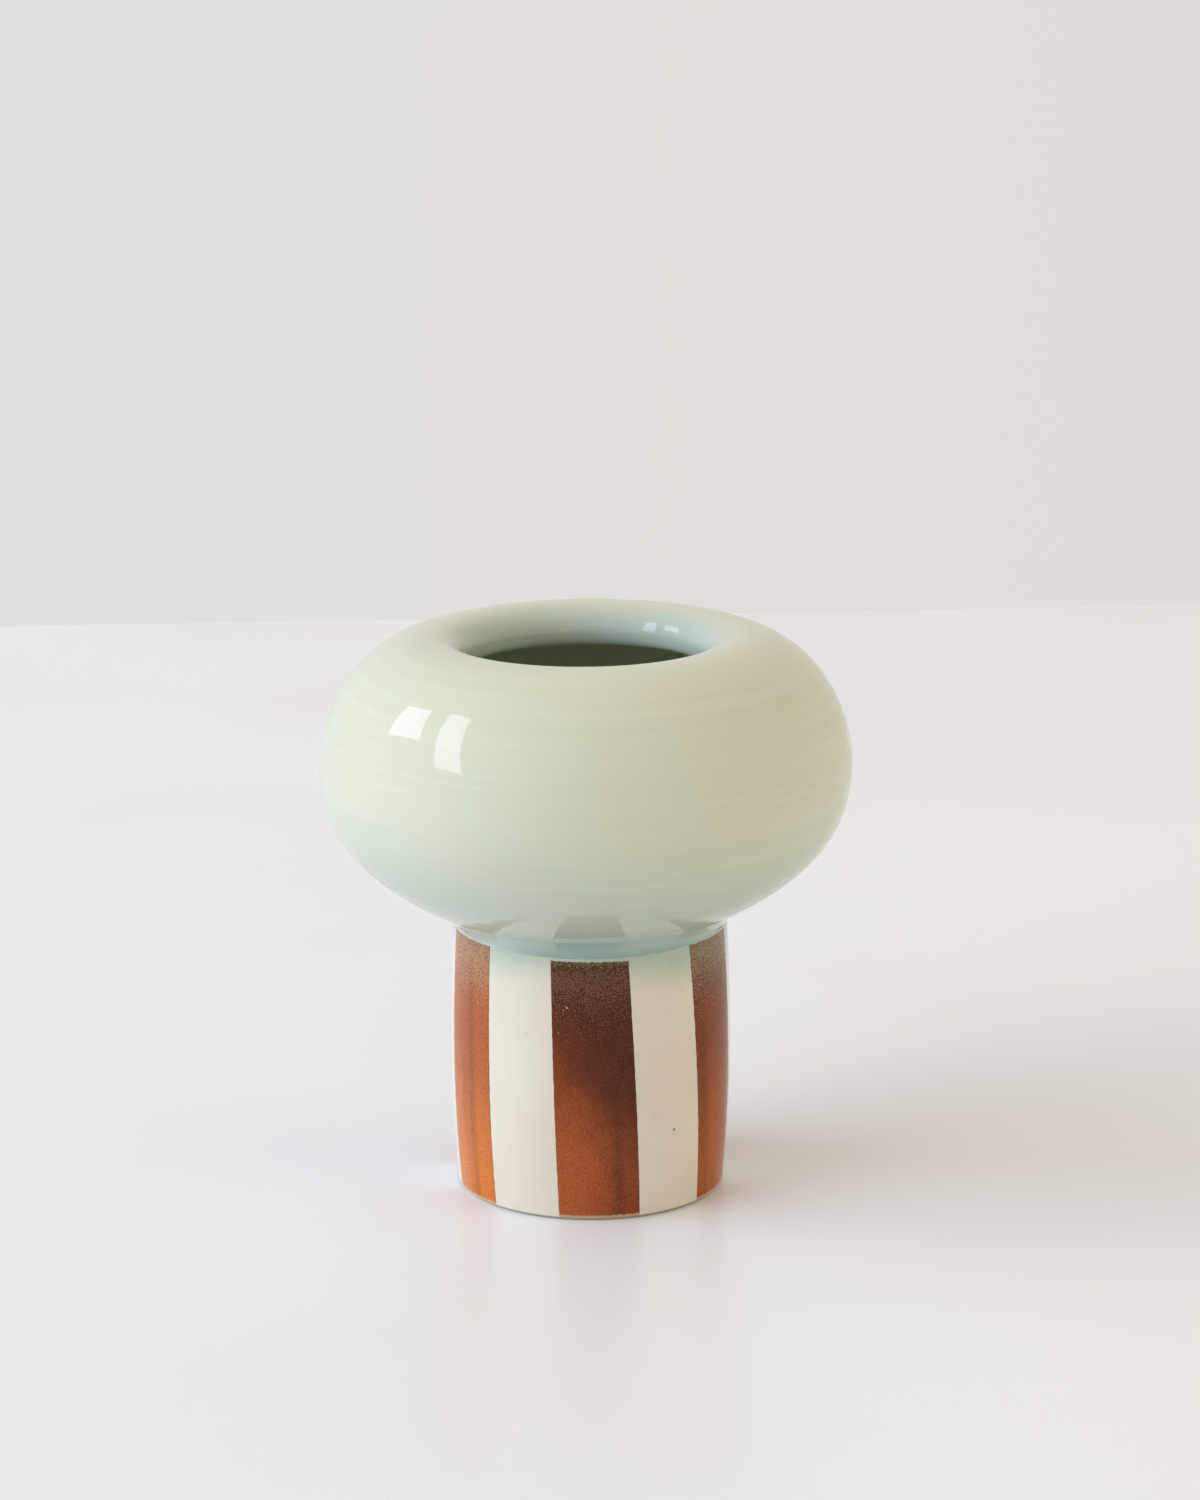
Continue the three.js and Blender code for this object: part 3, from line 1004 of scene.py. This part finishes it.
@dataclass
class Bulb:
    """The thrown hollow bulb: floor with a neck hole, belly, shoulder and rolled-in lip.

    It was luted on with a slight tilt, its left side down.
    """

    wall: float = 3.4
    equator_rise: float = 18.4
    underside_rise: float = 0.7  # from the joint to where the underside leaves the collar
    underside_slope: float = 24.0
    underside_handle: float = 14.0
    belly_handle: float = 5.6
    bowl_belly_handle: float = 8.1
    tilt: float = 0.5  # degrees
    shoulder_handle: float = 8.0
    crest_handle: float = 7.0
    crest_diameter: float = 36.4
    mouth_diameter: float = 27.4
    lip_drop: float = 3.2
    lip_nose: float = 2.6
    roll_crest_handle: float = 2.7
    roll_mouth_handle: float = 1.8
    lip_thickening: float = 0.4
    nose_fullness: float = 1.2
    neck_diameter: float = 32.0
    neck_hole: float = 19.0
    neck_hole_bevel: float = 1.0
    floor_rise: float = 3.8
    bowl_handle: float = 6.6
    bowl_dish: float = 1.2
    inside_handle_share: float = 0.85
    neck_steps: int = 3
    underside_steps: int = 84
    shoulder_steps: int = 60
    roll_steps: int = 24
    nose_steps: int = 18
    roof_steps: int = 36
    bowl_steps: int = 44
    hole_steps: int = 6
    base_steps: int = 8
    around: int = 224
    ring_pitch: float = 1.3
    ring_depth: float = 0.01
    ring_fade: tuple[float, float] = (0.5, 1.3)  # by the share of the way up to the equator
    rings_kept: float = 0.3
    wobble: float = 0.2
    wobble_size: float = 30.0
    ring_break: float = 9.0
    inset: float = 0.035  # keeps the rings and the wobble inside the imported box
    seed: float = 1.0
    glaze: CeladonGlaze = field(default_factory=CeladonGlaze)

    def __post_init__(self) -> None:
        """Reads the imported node's box."""
        low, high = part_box("bulb_shell")
        lifted = self.crest_diameter / 2 * math.sin(math.radians(self.tilt))
        self.joint, self.crest_height = low.z / MM, high.z / MM - lifted
        self.equator = (high.x - low.x) / 2 / MM
        self.axis_x = (low.x + high.x) / 2 / MM

    def underside(self, along: float) -> Point:
        """Point on the straight start of the underside, this far out along it."""
        slope, low = math.radians(self.underside_slope), self.joint + self.underside_rise
        return self.neck_diameter / 2 + along * math.cos(slope), low + along * math.sin(slope)

    def outline(self) -> list[Point]:
        """Closed outline of the wall, from the neck up the outside and down the inside."""
        joint, top, equator = self.joint, self.crest_height, self.equator
        neck, crest, mouth = self.neck_diameter / 2, self.crest_diameter / 2, self.mouth_diameter / 2
        middle, mouth_height = joint + self.equator_rise, top - self.lip_drop
        nose, inside, hole = (crest - mouth) / 2, equator - self.wall, self.neck_hole / 2
        floor = joint + self.floor_rise
        lip_underside = (crest + nose, top - self.wall - self.lip_thickening)
        floor_edge, hole_edge = (hole + self.neck_hole_bevel, floor), (hole, floor - self.neck_hole_bevel)
        share = self.inside_handle_share
        return [
            *straight((neck, joint), self.underside(0), self.neck_steps),
            *curved(self.underside(0), self.underside(self.underside_handle),
                    (equator, middle - self.belly_handle), (equator, middle), self.underside_steps),
            *curved((equator, middle), (equator, middle + self.shoulder_handle),
                    (crest + self.crest_handle, top), (crest, top), self.shoulder_steps),
            *curved((crest, top), (crest - self.roll_crest_handle, top),
                    (mouth, mouth_height + self.roll_mouth_handle), (mouth, mouth_height),
                    self.roll_steps),
            *curved((mouth, mouth_height), (mouth, mouth_height - self.lip_nose),
                    (crest - nose, top - self.wall - self.nose_fullness), lip_underside,
                    self.nose_steps),
            *curved(lip_underside, (crest + self.crest_handle, top - self.wall),
                    (inside, middle + self.shoulder_handle * share), (inside, middle),
                    self.roof_steps),
            *curved((inside, middle), (inside, middle - self.bowl_belly_handle),
                    (neck + self.bowl_handle, floor + self.bowl_dish), floor_edge, self.bowl_steps),
            *curved(floor_edge, (hole + self.neck_hole_bevel / 2, floor),
                    (hole, floor - self.neck_hole_bevel / 2), hole_edge, self.hole_steps),
            *straight(hole_edge, (hole, joint), self.hole_steps),
            *straight((hole, joint), (neck, joint), self.base_steps),
        ]

    def build(self, surface: bpy.types.NodeTree) -> bpy.types.Object:
        """Builds and dresses the bulb.

        Args:
            surface: The thrown surface tree.

        Returns:
            The bulb.
        """
        line = [(radius, height, self.axis_x) for radius, height in self.outline()]
        made = turned_object("bulb", lambda angle: line, self.around)
        fade_low, fade_high = ((self.joint + self.equator_rise * share) * MM for share in self.ring_fade)
        grown(made, surface, {
            "Axis X": self.axis_x * MM,
            "Ring Pitch": self.ring_pitch * MM,
            "Ring Depth": self.ring_depth * MM,
            "Fade Low": fade_low,
            "Fade High": fade_high,
            "Least Share": self.rings_kept,
            "Wobble": self.wobble * MM,
            "Wobble Size": self.wobble_size * MM,
            "Break Size": self.ring_break * MM,
            "Inset": self.inset * MM,
            "Seed": self.seed,
            "Material": self.glaze.material(
                self.joint, self.crest_height, self.crest_diameter / 2, self.mouth_diameter / 2
            ),
        })
        middle = Vector((self.axis_x, 0, self.joint + self.equator_rise)) * MM
        turn = Matrix.Rotation(-math.radians(self.tilt), 4, "Y")
        made.data.transform(Matrix.Translation(middle) @ turn @ Matrix.Translation(-middle))
        return settle(made, "bulb_shell", Slot.BULB)

    def tilted(self, out: float, height: float, angle: float) -> Point:
        """Height and x of the axis, once the bulb is tilted, of a point this far out at an angle.

        Args:
            out: Its radius.
            height: Its height before the tilt.
            angle: Radians round from the front.

        Returns:
            Its height, and the x of the circle's centre that it then lies on.
        """
        tilt, middle = math.radians(self.tilt), self.joint + self.equator_rise
        x, z = out * math.sin(angle), height - middle
        turned_x = x * math.cos(tilt) - z * math.sin(tilt)
        turned_z = x * math.sin(tilt) + z * math.cos(tilt)
        return middle + turned_z, self.axis_x + turned_x - x


@dataclass
class Tube:
    """The barrel-shaped tube with its foot and open bore."""

    foot_diameter: float = 31.4
    belly_height: float = 16.5
    top_diameter: float = 32.0
    bore: float = 22.5
    foot_edge: float = 0.6
    bore_bevel: float = 0.8
    around: int = 224
    bevel_steps: int = 3
    foot_steps: int = 8
    edge_steps: int = 10
    wall_steps: int = 110
    top_steps: int = 6
    bore_steps: int = 30
    ring_pitch: float = 2.4
    ring_depth: float = 0.012
    rings_kept: float = 0.6
    wobble: float = 0.04
    wobble_size: float = 12.0
    inset: float = 0.015
    seed: float = 2.0
    finish: CreamStoneware = field(default_factory=CreamStoneware)

    def __post_init__(self) -> None:
        """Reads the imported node's box."""
        low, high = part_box("stem_tube")
        self.axis_x, self.height = (low.x + high.x) / 2 / MM, high.z / MM
        self.belly_radius = (high.x - low.x) / 2 / MM

    def radius(self, height: float) -> float:
        """Outer radius of the barrel at a height."""
        below = height < self.belly_height
        end = (self.foot_diameter if below else self.top_diameter) / 2
        reach = self.belly_height if below else self.height - self.belly_height
        return self.belly_radius - (self.belly_radius - end) * ((height - self.belly_height) / reach) ** 2

    def outline(self) -> list[Point]:
        """Closed outline of the wall, from the bore's foot round outside to its top."""
        bore, edge, bevel = self.bore / 2, self.foot_edge, self.bore_bevel
        foot, top = self.radius(edge), self.top_diameter / 2
        handle = QUARTER_HANDLE * edge
        rise = (self.height - edge) / self.wall_steps
        heights = [edge + rise * step for step in range(self.wall_steps)]
        return [
            *straight((bore, bevel), (bore + bevel, 0), self.bevel_steps),
            *straight((bore + bevel, 0), (foot - edge, 0), self.foot_steps),
            *curved((foot - edge, 0), (foot - edge + handle, 0), (foot, edge - handle), (foot, edge),
                    self.edge_steps),
            *[(self.radius(height), height) for height in heights],
            *straight((top, self.height), (bore, self.height), self.top_steps),
            *straight((bore, self.height), (bore, bevel), self.bore_steps),
        ]

    def build(self, surface: bpy.types.NodeTree) -> bpy.types.Object:
        """Builds and dresses the tube.

        Args:
            surface: The thrown surface tree.

        Returns:
            The tube.
        """
        line = [(radius, height, self.axis_x) for radius, height in self.outline()]
        made = turned_object("tube", lambda angle: line, self.around)
        inside = self.bore / 2 + self.bore_bevel
        grown(made, surface, {
            "Axis X": self.axis_x * MM,
            "Ring Pitch": self.ring_pitch * MM,
            "Ring Depth": self.ring_depth * MM,
            "Fade Low": 0.0,
            "Fade High": self.height * MM,
            "Least Share": self.rings_kept,
            "Wobble": self.wobble * MM,
            "Wobble Size": self.wobble_size * MM,
            "Break Size": self.wobble_size * MM,
            "Inset": self.inset * MM,
            "Seed": self.seed,
            "Material": self.finish.material(self.axis_x, self.radius, self.height, inside),
        })
        return settle(made, "stem_tube", Slot.TUBE)


@dataclass
class Collar:
    """The fillet of slip and pooled glaze in the crease between the tube and the bulb.

    It starts round the tube's axis and ends round the bulb's, so it evens out the small offset
    between the two. Its lower edge hangs lowest near the front.
    """

    tube: Tube
    bulb: Bulb
    hang: float = 0.93  # how far below the joint the glaze hangs
    hang_swing: float = 0.35
    hang_turns: int = 2
    hang_lowest: float = 3.0  # degrees
    reach: float = 2.6  # how far out along the bulb's underside it lies
    fullness: float = 0.3  # 0 fills no corner, 1 would cut straight across it
    sunk: float = 0.14  # how far both of its edges end under the surface that they lie on
    depth: float = 0.9  # how far its back lies inside
    front_steps: int = 48
    top_steps: int = 8
    back_steps: int = 6
    around: int = 224
    glaze: PooledGlaze = field(default_factory=PooledGlaze)

    def outline(self, angle: float) -> list[tuple[float, float, float]]:
        """Closed outline at an angle: up the hollow front, then back down inside.

        Args:
            angle: Radians round from the front.

        Returns:
            Radius, height and axis x of each point.
        """
        joint, corner = self.tube.height, (self.bulb.neck_diameter / 2, self.tube.height)
        swing = math.cos(self.hang_turns * (angle - math.radians(self.hang_lowest)))
        foot = joint - self.hang - self.hang_swing * swing
        start = (self.tube.radius(foot) - self.sunk, foot)
        under_x, under_z = self.bulb.underside(self.reach)
        slope = math.radians(self.bulb.underside_slope)
        level = under_z + self.sunk * math.cos(slope)
        tilted_level, tilted_axis = self.bulb.tilted(under_x, level, angle)
        end = (under_x - self.sunk * math.sin(slope), tilted_level)
        kept = 1 - self.fullness
        leave = tuple(a + (b - a) * kept for a, b in zip(start, corner))
        arrive = tuple(a + (b - a) * kept for a, b in zip(end, corner))
        front = curved(start, leave, arrive, end, self.front_steps)
        back = (corner[0] - self.depth, joint)
        line = [
            *front, *straight(end, back, self.top_steps), *straight(back, start, self.back_steps)
        ]
        shares = [step / self.front_steps for step in range(self.front_steps)] + [1.0] * self.top_steps
        shares += [1 - step / self.back_steps for step in range(self.back_steps)]
        axes = [self.tube.axis_x + (tilted_axis - self.tube.axis_x) * share for share in shares]
        return [(radius, height, axis) for (radius, height), axis in zip(line, axes)]

    def build(self) -> bpy.types.Object:
        """Builds and dresses the collar.

        Returns:
            The collar.
        """
        made = turned_object("collar", self.outline, self.around)
        made.data.materials.append(self.glaze.material(self.tube.height - self.hang))
        return settle(made, "joint_collar", Slot.POOL)


@dataclass
class Bands:
    """The six bands of brown slip round the tube."""

    tube: Tube
    edge_height: float = 16.0  # height at which the bands' angles are taken
    foot_gap: float = 0.35
    thickness: float = 0.35
    proud: float = 0.03
    feather: float = 0.3
    side_wander: float = 0.3
    side_grain: float = 1.2
    end_wander: float = 0.6
    end_grain: float = 0.5
    outside: float = 20.0  # radius from which the slip is dropped on the tube
    columns: int = 84
    rows: int = 190
    sharp_from: float = 50.0  # degrees between two faces
    slip: BrownSlip = field(default_factory=BrownSlip)
    laid: tuple[Band, ...] = (
        Band(
            "band_front", start=-15.3, start_lean=0.1, end=18.8, end_lean=0.18, top=31.3,
            foot="#AE582A", middle="#803A14", haze="#9A7F62", hazed=0.3, dark_from=0.56, slant=0.3,
            shade=0.5, streak=0.1, overlap=0.75, crust=0.75, gloss=0.2, seed=11.0,
            flecks=(
                Fleck(-9.5, 25.9, 0.1, "#F2ECE2"),
                Fleck(-10.9, 25.6, 0.11, "#C98C76"),
                Fleck(4.9, 23.9, 0.08, "#A87860"),
                Fleck(12.6, 23.7, 0.08, "#A87860"),
                Fleck(-12.9, 22.9, 0.08, "#B98068"),
            ),
        ),
        Band(
            "band_front_right", start=48.1, start_lean=0.22, end=79.4, end_lean=0.18, top=31.9,
            foot="#B45C10", middle="#8A4418", haze="#97866C", hazed=1.0, dark_from=0.9, slant=0.1,
            shade=0.1, streak=0.3, overlap=0.2, crust=0.1, gloss=0.2, seed=12.0,
        ),
        Band(
            "band_back_right", start=107.2, start_lean=0.13, end=138.2, end_lean=0.13, top=31.9,
            foot="#AA5420", middle="#86411A", haze="#97866C", hazed=0.9, dark_from=0.75, slant=0.0,
            shade=0.2, streak=0.3, overlap=0.4, crust=0.2, gloss=0.3, seed=13.0,
        ),
        Band(
            "band_back", start=165.8, start_lean=0.13, end=196.8, end_lean=0.13, top=31.5,
            foot="#AE5826", middle="#803A14", haze="#9A7F62", hazed=0.4, dark_from=0.65, slant=-0.15,
            shade=0.3, streak=0.2, overlap=0.3, crust=0.5, gloss=0.3, seed=14.0,
        ),
        Band(
            "band_back_left", start=224.4, start_lean=0.13, end=255.4, end_lean=0.1, top=31.9,
            foot="#BA6126", middle="#954E28", haze="#A28668", hazed=0.9, dark_from=0.85, slant=0.1,
            shade=0.1, streak=0.3, overlap=0.6, crust=0.2, gloss=0.3, seed=15.0,
        ),
        Band(
            "band_front_left", start=283.6, start_lean=0.1, end=315.2, end_lean=0.05, top=31.7,
            foot="#D27426", middle="#AC5A2C", haze="#AC8A6A", hazed=1.0, dark_from=1.2, slant=0.0,
            shade=0.0, streak=0.3, overlap=0.62, crust=0.1, gloss=0.3, seed=16.0,
        ),
    )

    def edge(self, angle: float, lean: float, height: float) -> float:
        """An edge's angle in radians at a height."""
        return math.radians(angle + lean * (self.edge_height - height))

    def build(self, tree: bpy.types.NodeTree, on_tube: bpy.types.Object) -> list[bpy.types.Object]:
        """Lays and dresses every band.

        Args:
            tree: The slip band tree.
            on_tube: The finished tube.

        Returns:
            The bands.
        """
        made = []
        for band in self.laid:
            width = math.radians(band.end - band.start) * self.tube.belly_radius
            length = band.top - self.foot_gap
            name = band.node.replace("band", "slip_band")
            piece = bpy.data.objects.new(name, bpy.data.meshes.new(name))
            bpy.context.scene.collection.objects.link(piece)
            grown(piece, tree, {
                "Start At Foot": self.edge(band.start, band.start_lean, self.foot_gap),
                "Start At Top": self.edge(band.start, band.start_lean, band.top),
                "End At Foot": self.edge(band.end, band.end_lean, self.foot_gap),
                "End At Top": self.edge(band.end, band.end_lean, band.top),
                "Low": self.foot_gap * MM,
                "High": band.top * MM,
                "Axis X": self.tube.axis_x * MM,
                "Outside Radius": self.outside * MM,
                "Width": width * MM,
                "Thickness": self.thickness * MM,
                "Proud": self.proud * MM,
                "Feather": self.feather * MM,
                "Side Wander": self.side_wander * MM,
                "Side Grain": self.side_grain * MM,
                "End Wander": self.end_wander * MM,
                "End Grain": self.end_grain * MM,
                "Seed": band.seed,
                "Columns": self.columns,
                "Rows": self.rows,
                "Tube": on_tube,
                "Material": self.slip.material(band, width, length, self.tube.axis_x, self.tube.radius),
            })
            piece.data.shade_smooth()
            piece.data.set_sharp_from_angle(angle=math.radians(self.sharp_from))
            made.append(settle(piece, band.node, Slot.BAND))
        return made


@dataclass(frozen=True)
class Lamp:
    """A rectangular soft lamp that faces the object, and that the glaze doesn't mirror."""

    name: str
    towards: tuple[float, float, float]  # direction in which it stands, seen from the object
    distance: float
    width: float
    height: float
    radiance: float
    colour: str

    def build(self, aim: Vector) -> None:
        """Builds the lamp.

        Args:
            aim: The point it faces, in millimetres.
        """
        stand = Vector(self.towards).normalized() * self.distance
        data = bpy.data.lights.new(self.name, "AREA")
        data.shape = "RECTANGLE"
        data.size, data.size_y = self.width * MM, self.height * MM
        data.energy = self.radiance * math.pi * data.size * data.size_y
        data.color = to_linear(self.colour)[:3]
        made = bpy.data.objects.new(self.name, data)
        made.location = (aim + stand) * MM
        made.rotation_euler = (-stand).to_track_quat("-Z", "Y").to_euler()
        made.visible_camera = False
        made.visible_glossy = False
        bpy.context.scene.collection.objects.link(made)


@dataclass(frozen=True)
class Pane:
    """One pane of the bright window that the glaze mirrors.

    Its corners are given as degrees round to the left from the front, and degrees above level.
    """

    name: str
    corners: tuple[Point, ...]
    distance: float
    radiance: float
    colour: str

    def material(self) -> bpy.types.Material:
        """Builds the bright sky that shows through the pane."""
        made = bpy.data.materials.new("sky_through_" + self.name)
        made.use_nodes = True
        tree = made.node_tree
        tree.nodes.clear()
        sky = add_node(
            tree, "ShaderNodeEmission", {"Color": to_linear(self.colour), "Strength": self.radiance}
        )
        add_node(tree, "ShaderNodeOutputMaterial", {"Surface": sky})
        return made

    def build(self, aim: Vector) -> None:
        """Builds the pane.

        Args:
            aim: The point that the directions start from, in millimetres.
        """
        places = []
        for to_left, above in self.corners:
            round_left, rise = math.radians(to_left), math.radians(above)
            level = math.cos(rise)
            way = Vector((-level * math.sin(round_left), -level * math.cos(round_left), math.sin(rise)))
            places.append((aim + way * self.distance) * MM)
        mesh = bpy.data.meshes.new(self.name)
        mesh.from_pydata(places, [], [(0, 1, 2, 3)])
        mesh.materials.append(self.material())
        made = bpy.data.objects.new(self.name, mesh)
        made.visible_camera = False
        bpy.context.scene.collection.objects.link(made)


@dataclass
class Studio:
    """Pale glossy table, a pale wall well behind it, window light, soft room light and the camera."""

    table: str = "#EFF0F2"
    table_roughness: float = 0.3
    table_ior: float = 1.45
    table_tone: Noise = Noise(60.0, 1.0, 1.0)
    table_tone_shows: Ramp = Ramp(0.3, 0.8, 0.4)
    table_peel: Noise = Noise(8.0, 1.0, 2.0)
    table_relief: float = 0.002
    # painted light: the wall is lighter on the left, towards the window, and warmer and darker on the right
    wall_left: str = "#E3E1E2"
    wall_right: str = "#DFDBD8"
    table_back: float = 316.0
    table_turn: float = 4.8
    table_side: float = 1600.0
    wall_back: float = 1300.0
    wall_side: float = 2600.0
    wall_top: float = 1800.0
    wall_fade: float = 300.0
    camera_back: float = 480.0
    camera_height: float = 171.7
    camera_pitch: float = 13.98
    camera_turn: float = 0.133
    focal_pixels: float = 4256.0
    photo_long_side: float = 1500.0
    daylight: float = 0.61
    daylight_colour: str = "#FFF1DE"
    aim: tuple[float, float, float] = (0.0, 0.0, 45.0)
    lamps: tuple[Lamp, ...] = (
        Lamp("window_side_of_room", towards=(-0.9, -0.25, 0.4), distance=2000, width=2200, height=1600,
             radiance=4.35, colour="#DBE9FF"),
        Lamp("far_side_of_room", towards=(0.93, -0.2, 0.3), distance=2200, width=2000, height=1600,
             radiance=1.5, colour="#FFEFD9"),
    )
    panes: tuple[Pane, ...] = (
        Pane("window_left_pane", corners=((114, 37), (102, 44), (86, 28), (104, 21)), distance=1500,
             radiance=5.0, colour="#DFE8FF"),
        Pane("window_right_pane", corners=((94, 50), (80, 53), (56, 18), (70, 17)), distance=1500,
             radiance=5.0, colour="#DFE8FF"),
    )

    def sheet(self, name: str, corners: list[tuple], material: bpy.types.Material) -> None:
        """Makes one flat stage surface.

        Args:
            name: The surface's name.
            corners: Its corners in millimetres.
            material: Its material.
        """
        mesh = bpy.data.meshes.new(name)
        mesh.from_pydata([Vector(corner) * MM for corner in corners], [], [(0, 1, 2, 3)])
        mesh.materials.append(material)
        made = bpy.data.objects.new(name, mesh)
        bpy.context.scene.collection.objects.link(made)

    def table_top(self) -> bpy.types.Material:
        """White satin laminate, which mirrors the foot softly."""
        finish = Finish("white_satin_laminate")
        finish.colour = to_linear(self.table)
        finish.lay(self.wall_left, finish.pattern(self.table_tone), self.table_tone_shows)
        peel = finish.pattern(self.table_peel)
        return finish.close(self.table_roughness, self.table_ior, peel, self.table_relief)

    def seen(self, tree: bpy.types.NodeTree) -> bpy.types.NodeSocket:
        """Whether a ray is one that shows the background."""
        ray = add_node(tree, "ShaderNodeLightPath").node.outputs
        either = add_node(
            tree, "ShaderNodeMath", {0: ray["Is Camera Ray"], 1: ray["Is Glossy Ray"]}, operation="MAXIMUM"
        )
        return add_node(
            tree, "ShaderNodeMath", {0: either, 1: ray["Is Transmission Ray"]}, operation="MAXIMUM"
        )

    def wall_paint(self) -> bpy.types.Material:
        """Pale matt paint, shown at its own colour, with painted light: lighter on the left, towards the
        window, and warmer and darker on the right.
        """
        made = bpy.data.materials.new("pale_wall_paint")
        made.use_nodes = True
        tree = made.node_tree
        tree.nodes.clear()
        where = add_node(tree, "ShaderNodeTexCoord", output="Object")
        side = add_node(tree, "ShaderNodeSeparateXYZ", {0: where}, output="X")
        # Painted light across the wall, by x: lighter on the window side, warmer and darker on the right.
        share = add_node(
            tree, "ShaderNodeMapRange",
            {"Value": side, "From Min": -self.wall_fade * MM, "From Max": self.wall_fade * MM},
        )
        colour = add_node(
            tree, "ShaderNodeMix",
            {0: share, 6: to_linear(self.wall_left), 7: to_linear(self.wall_right)}, output=2,
            data_type="RGBA",
        )
        matt = add_node(tree, "ShaderNodeBsdfDiffuse", {"Color": colour})
        shown = add_node(tree, "ShaderNodeEmission", {"Color": colour})
        either = add_node(tree, "ShaderNodeMixShader", {0: self.seen(tree), 1: matt, 2: shown})
        add_node(tree, "ShaderNodeOutputMaterial", {"Surface": either})
        return made

    def build_sheets(self) -> None:
        """Builds the table and the wall."""
        side, back = self.table_side, self.table_back
        slant = side * math.tan(math.radians(self.table_turn))
        corners = [(-side, -side, 0), (side, -side, 0), (side, back + slant, 0), (-side, back - slant, 0)]
        self.sheet("table", corners, self.table_top())
        side, back, top = self.wall_side, self.wall_back, self.wall_top
        corners = [(-side, back, -top), (side, back, -top), (side, back, top), (-side, back, top)]
        self.sheet("wall", corners, self.wall_paint())

    def build_light(self) -> None:
        """Builds the lamps and the soft daylight of the room."""
        for light in (*self.lamps, *self.panes):
            light.build(Vector(self.aim))
        world = bpy.data.worlds.new("daylight")
        world.use_nodes = True
        tree = world.node_tree
        tree.nodes.clear()
        soft = add_node(
            tree, "ShaderNodeBackground",
            {"Color": to_linear(self.daylight_colour), "Strength": self.daylight},
        )
        pale = add_node(tree, "ShaderNodeBackground", {"Color": to_linear(self.wall_left)})
        either = add_node(tree, "ShaderNodeMixShader", {0: self.seen(tree), 1: soft, 2: pale})
        add_node(tree, "ShaderNodeOutputWorld", {"Surface": either})
        bpy.context.scene.world = world

    def build_camera(self, axis_x: float) -> None:
        """Builds the camera at the photograph's viewing angle.

        Args:
            axis_x: X of the tube's axis, in front of which it stands.
        """
        data = bpy.data.cameras.new("camera")
        data.lens = self.focal_pixels / self.photo_long_side * data.sensor_width
        camera = bpy.data.objects.new("camera", data)
        camera.location = Vector((axis_x, -self.camera_back, self.camera_height)) * MM
        camera.rotation_euler = (
            math.radians(90 - self.camera_pitch), 0, -math.radians(self.camera_turn)
        )
        bpy.context.scene.collection.objects.link(camera)
        bpy.context.scene.camera = camera

    def build(self, axis_x: float) -> None:
        """Builds the stage, the light and the camera.

        Args:
            axis_x: X of the tube's axis.
        """
        self.build_sheets()
        self.build_light()
        self.build_camera(axis_x)
        bpy.context.scene.view_settings.view_transform = "Standard"


def main() -> None:
    """Builds the holder piece by piece, then the studio."""
    logging.basicConfig(level=logging.INFO, format="%(name)s: %(message)s")
    surface = thrown_surface_tree()
    bulb, tube = Bulb(), Tube()
    bulb.build(surface)
    tube_piece = tube.build(surface)
    Collar(tube, bulb).build()
    Bands(tube).build(slip_band_tree(), tube_piece)
    Studio().build(tube.axis_x)


if __name__ == "__main__":
    main()
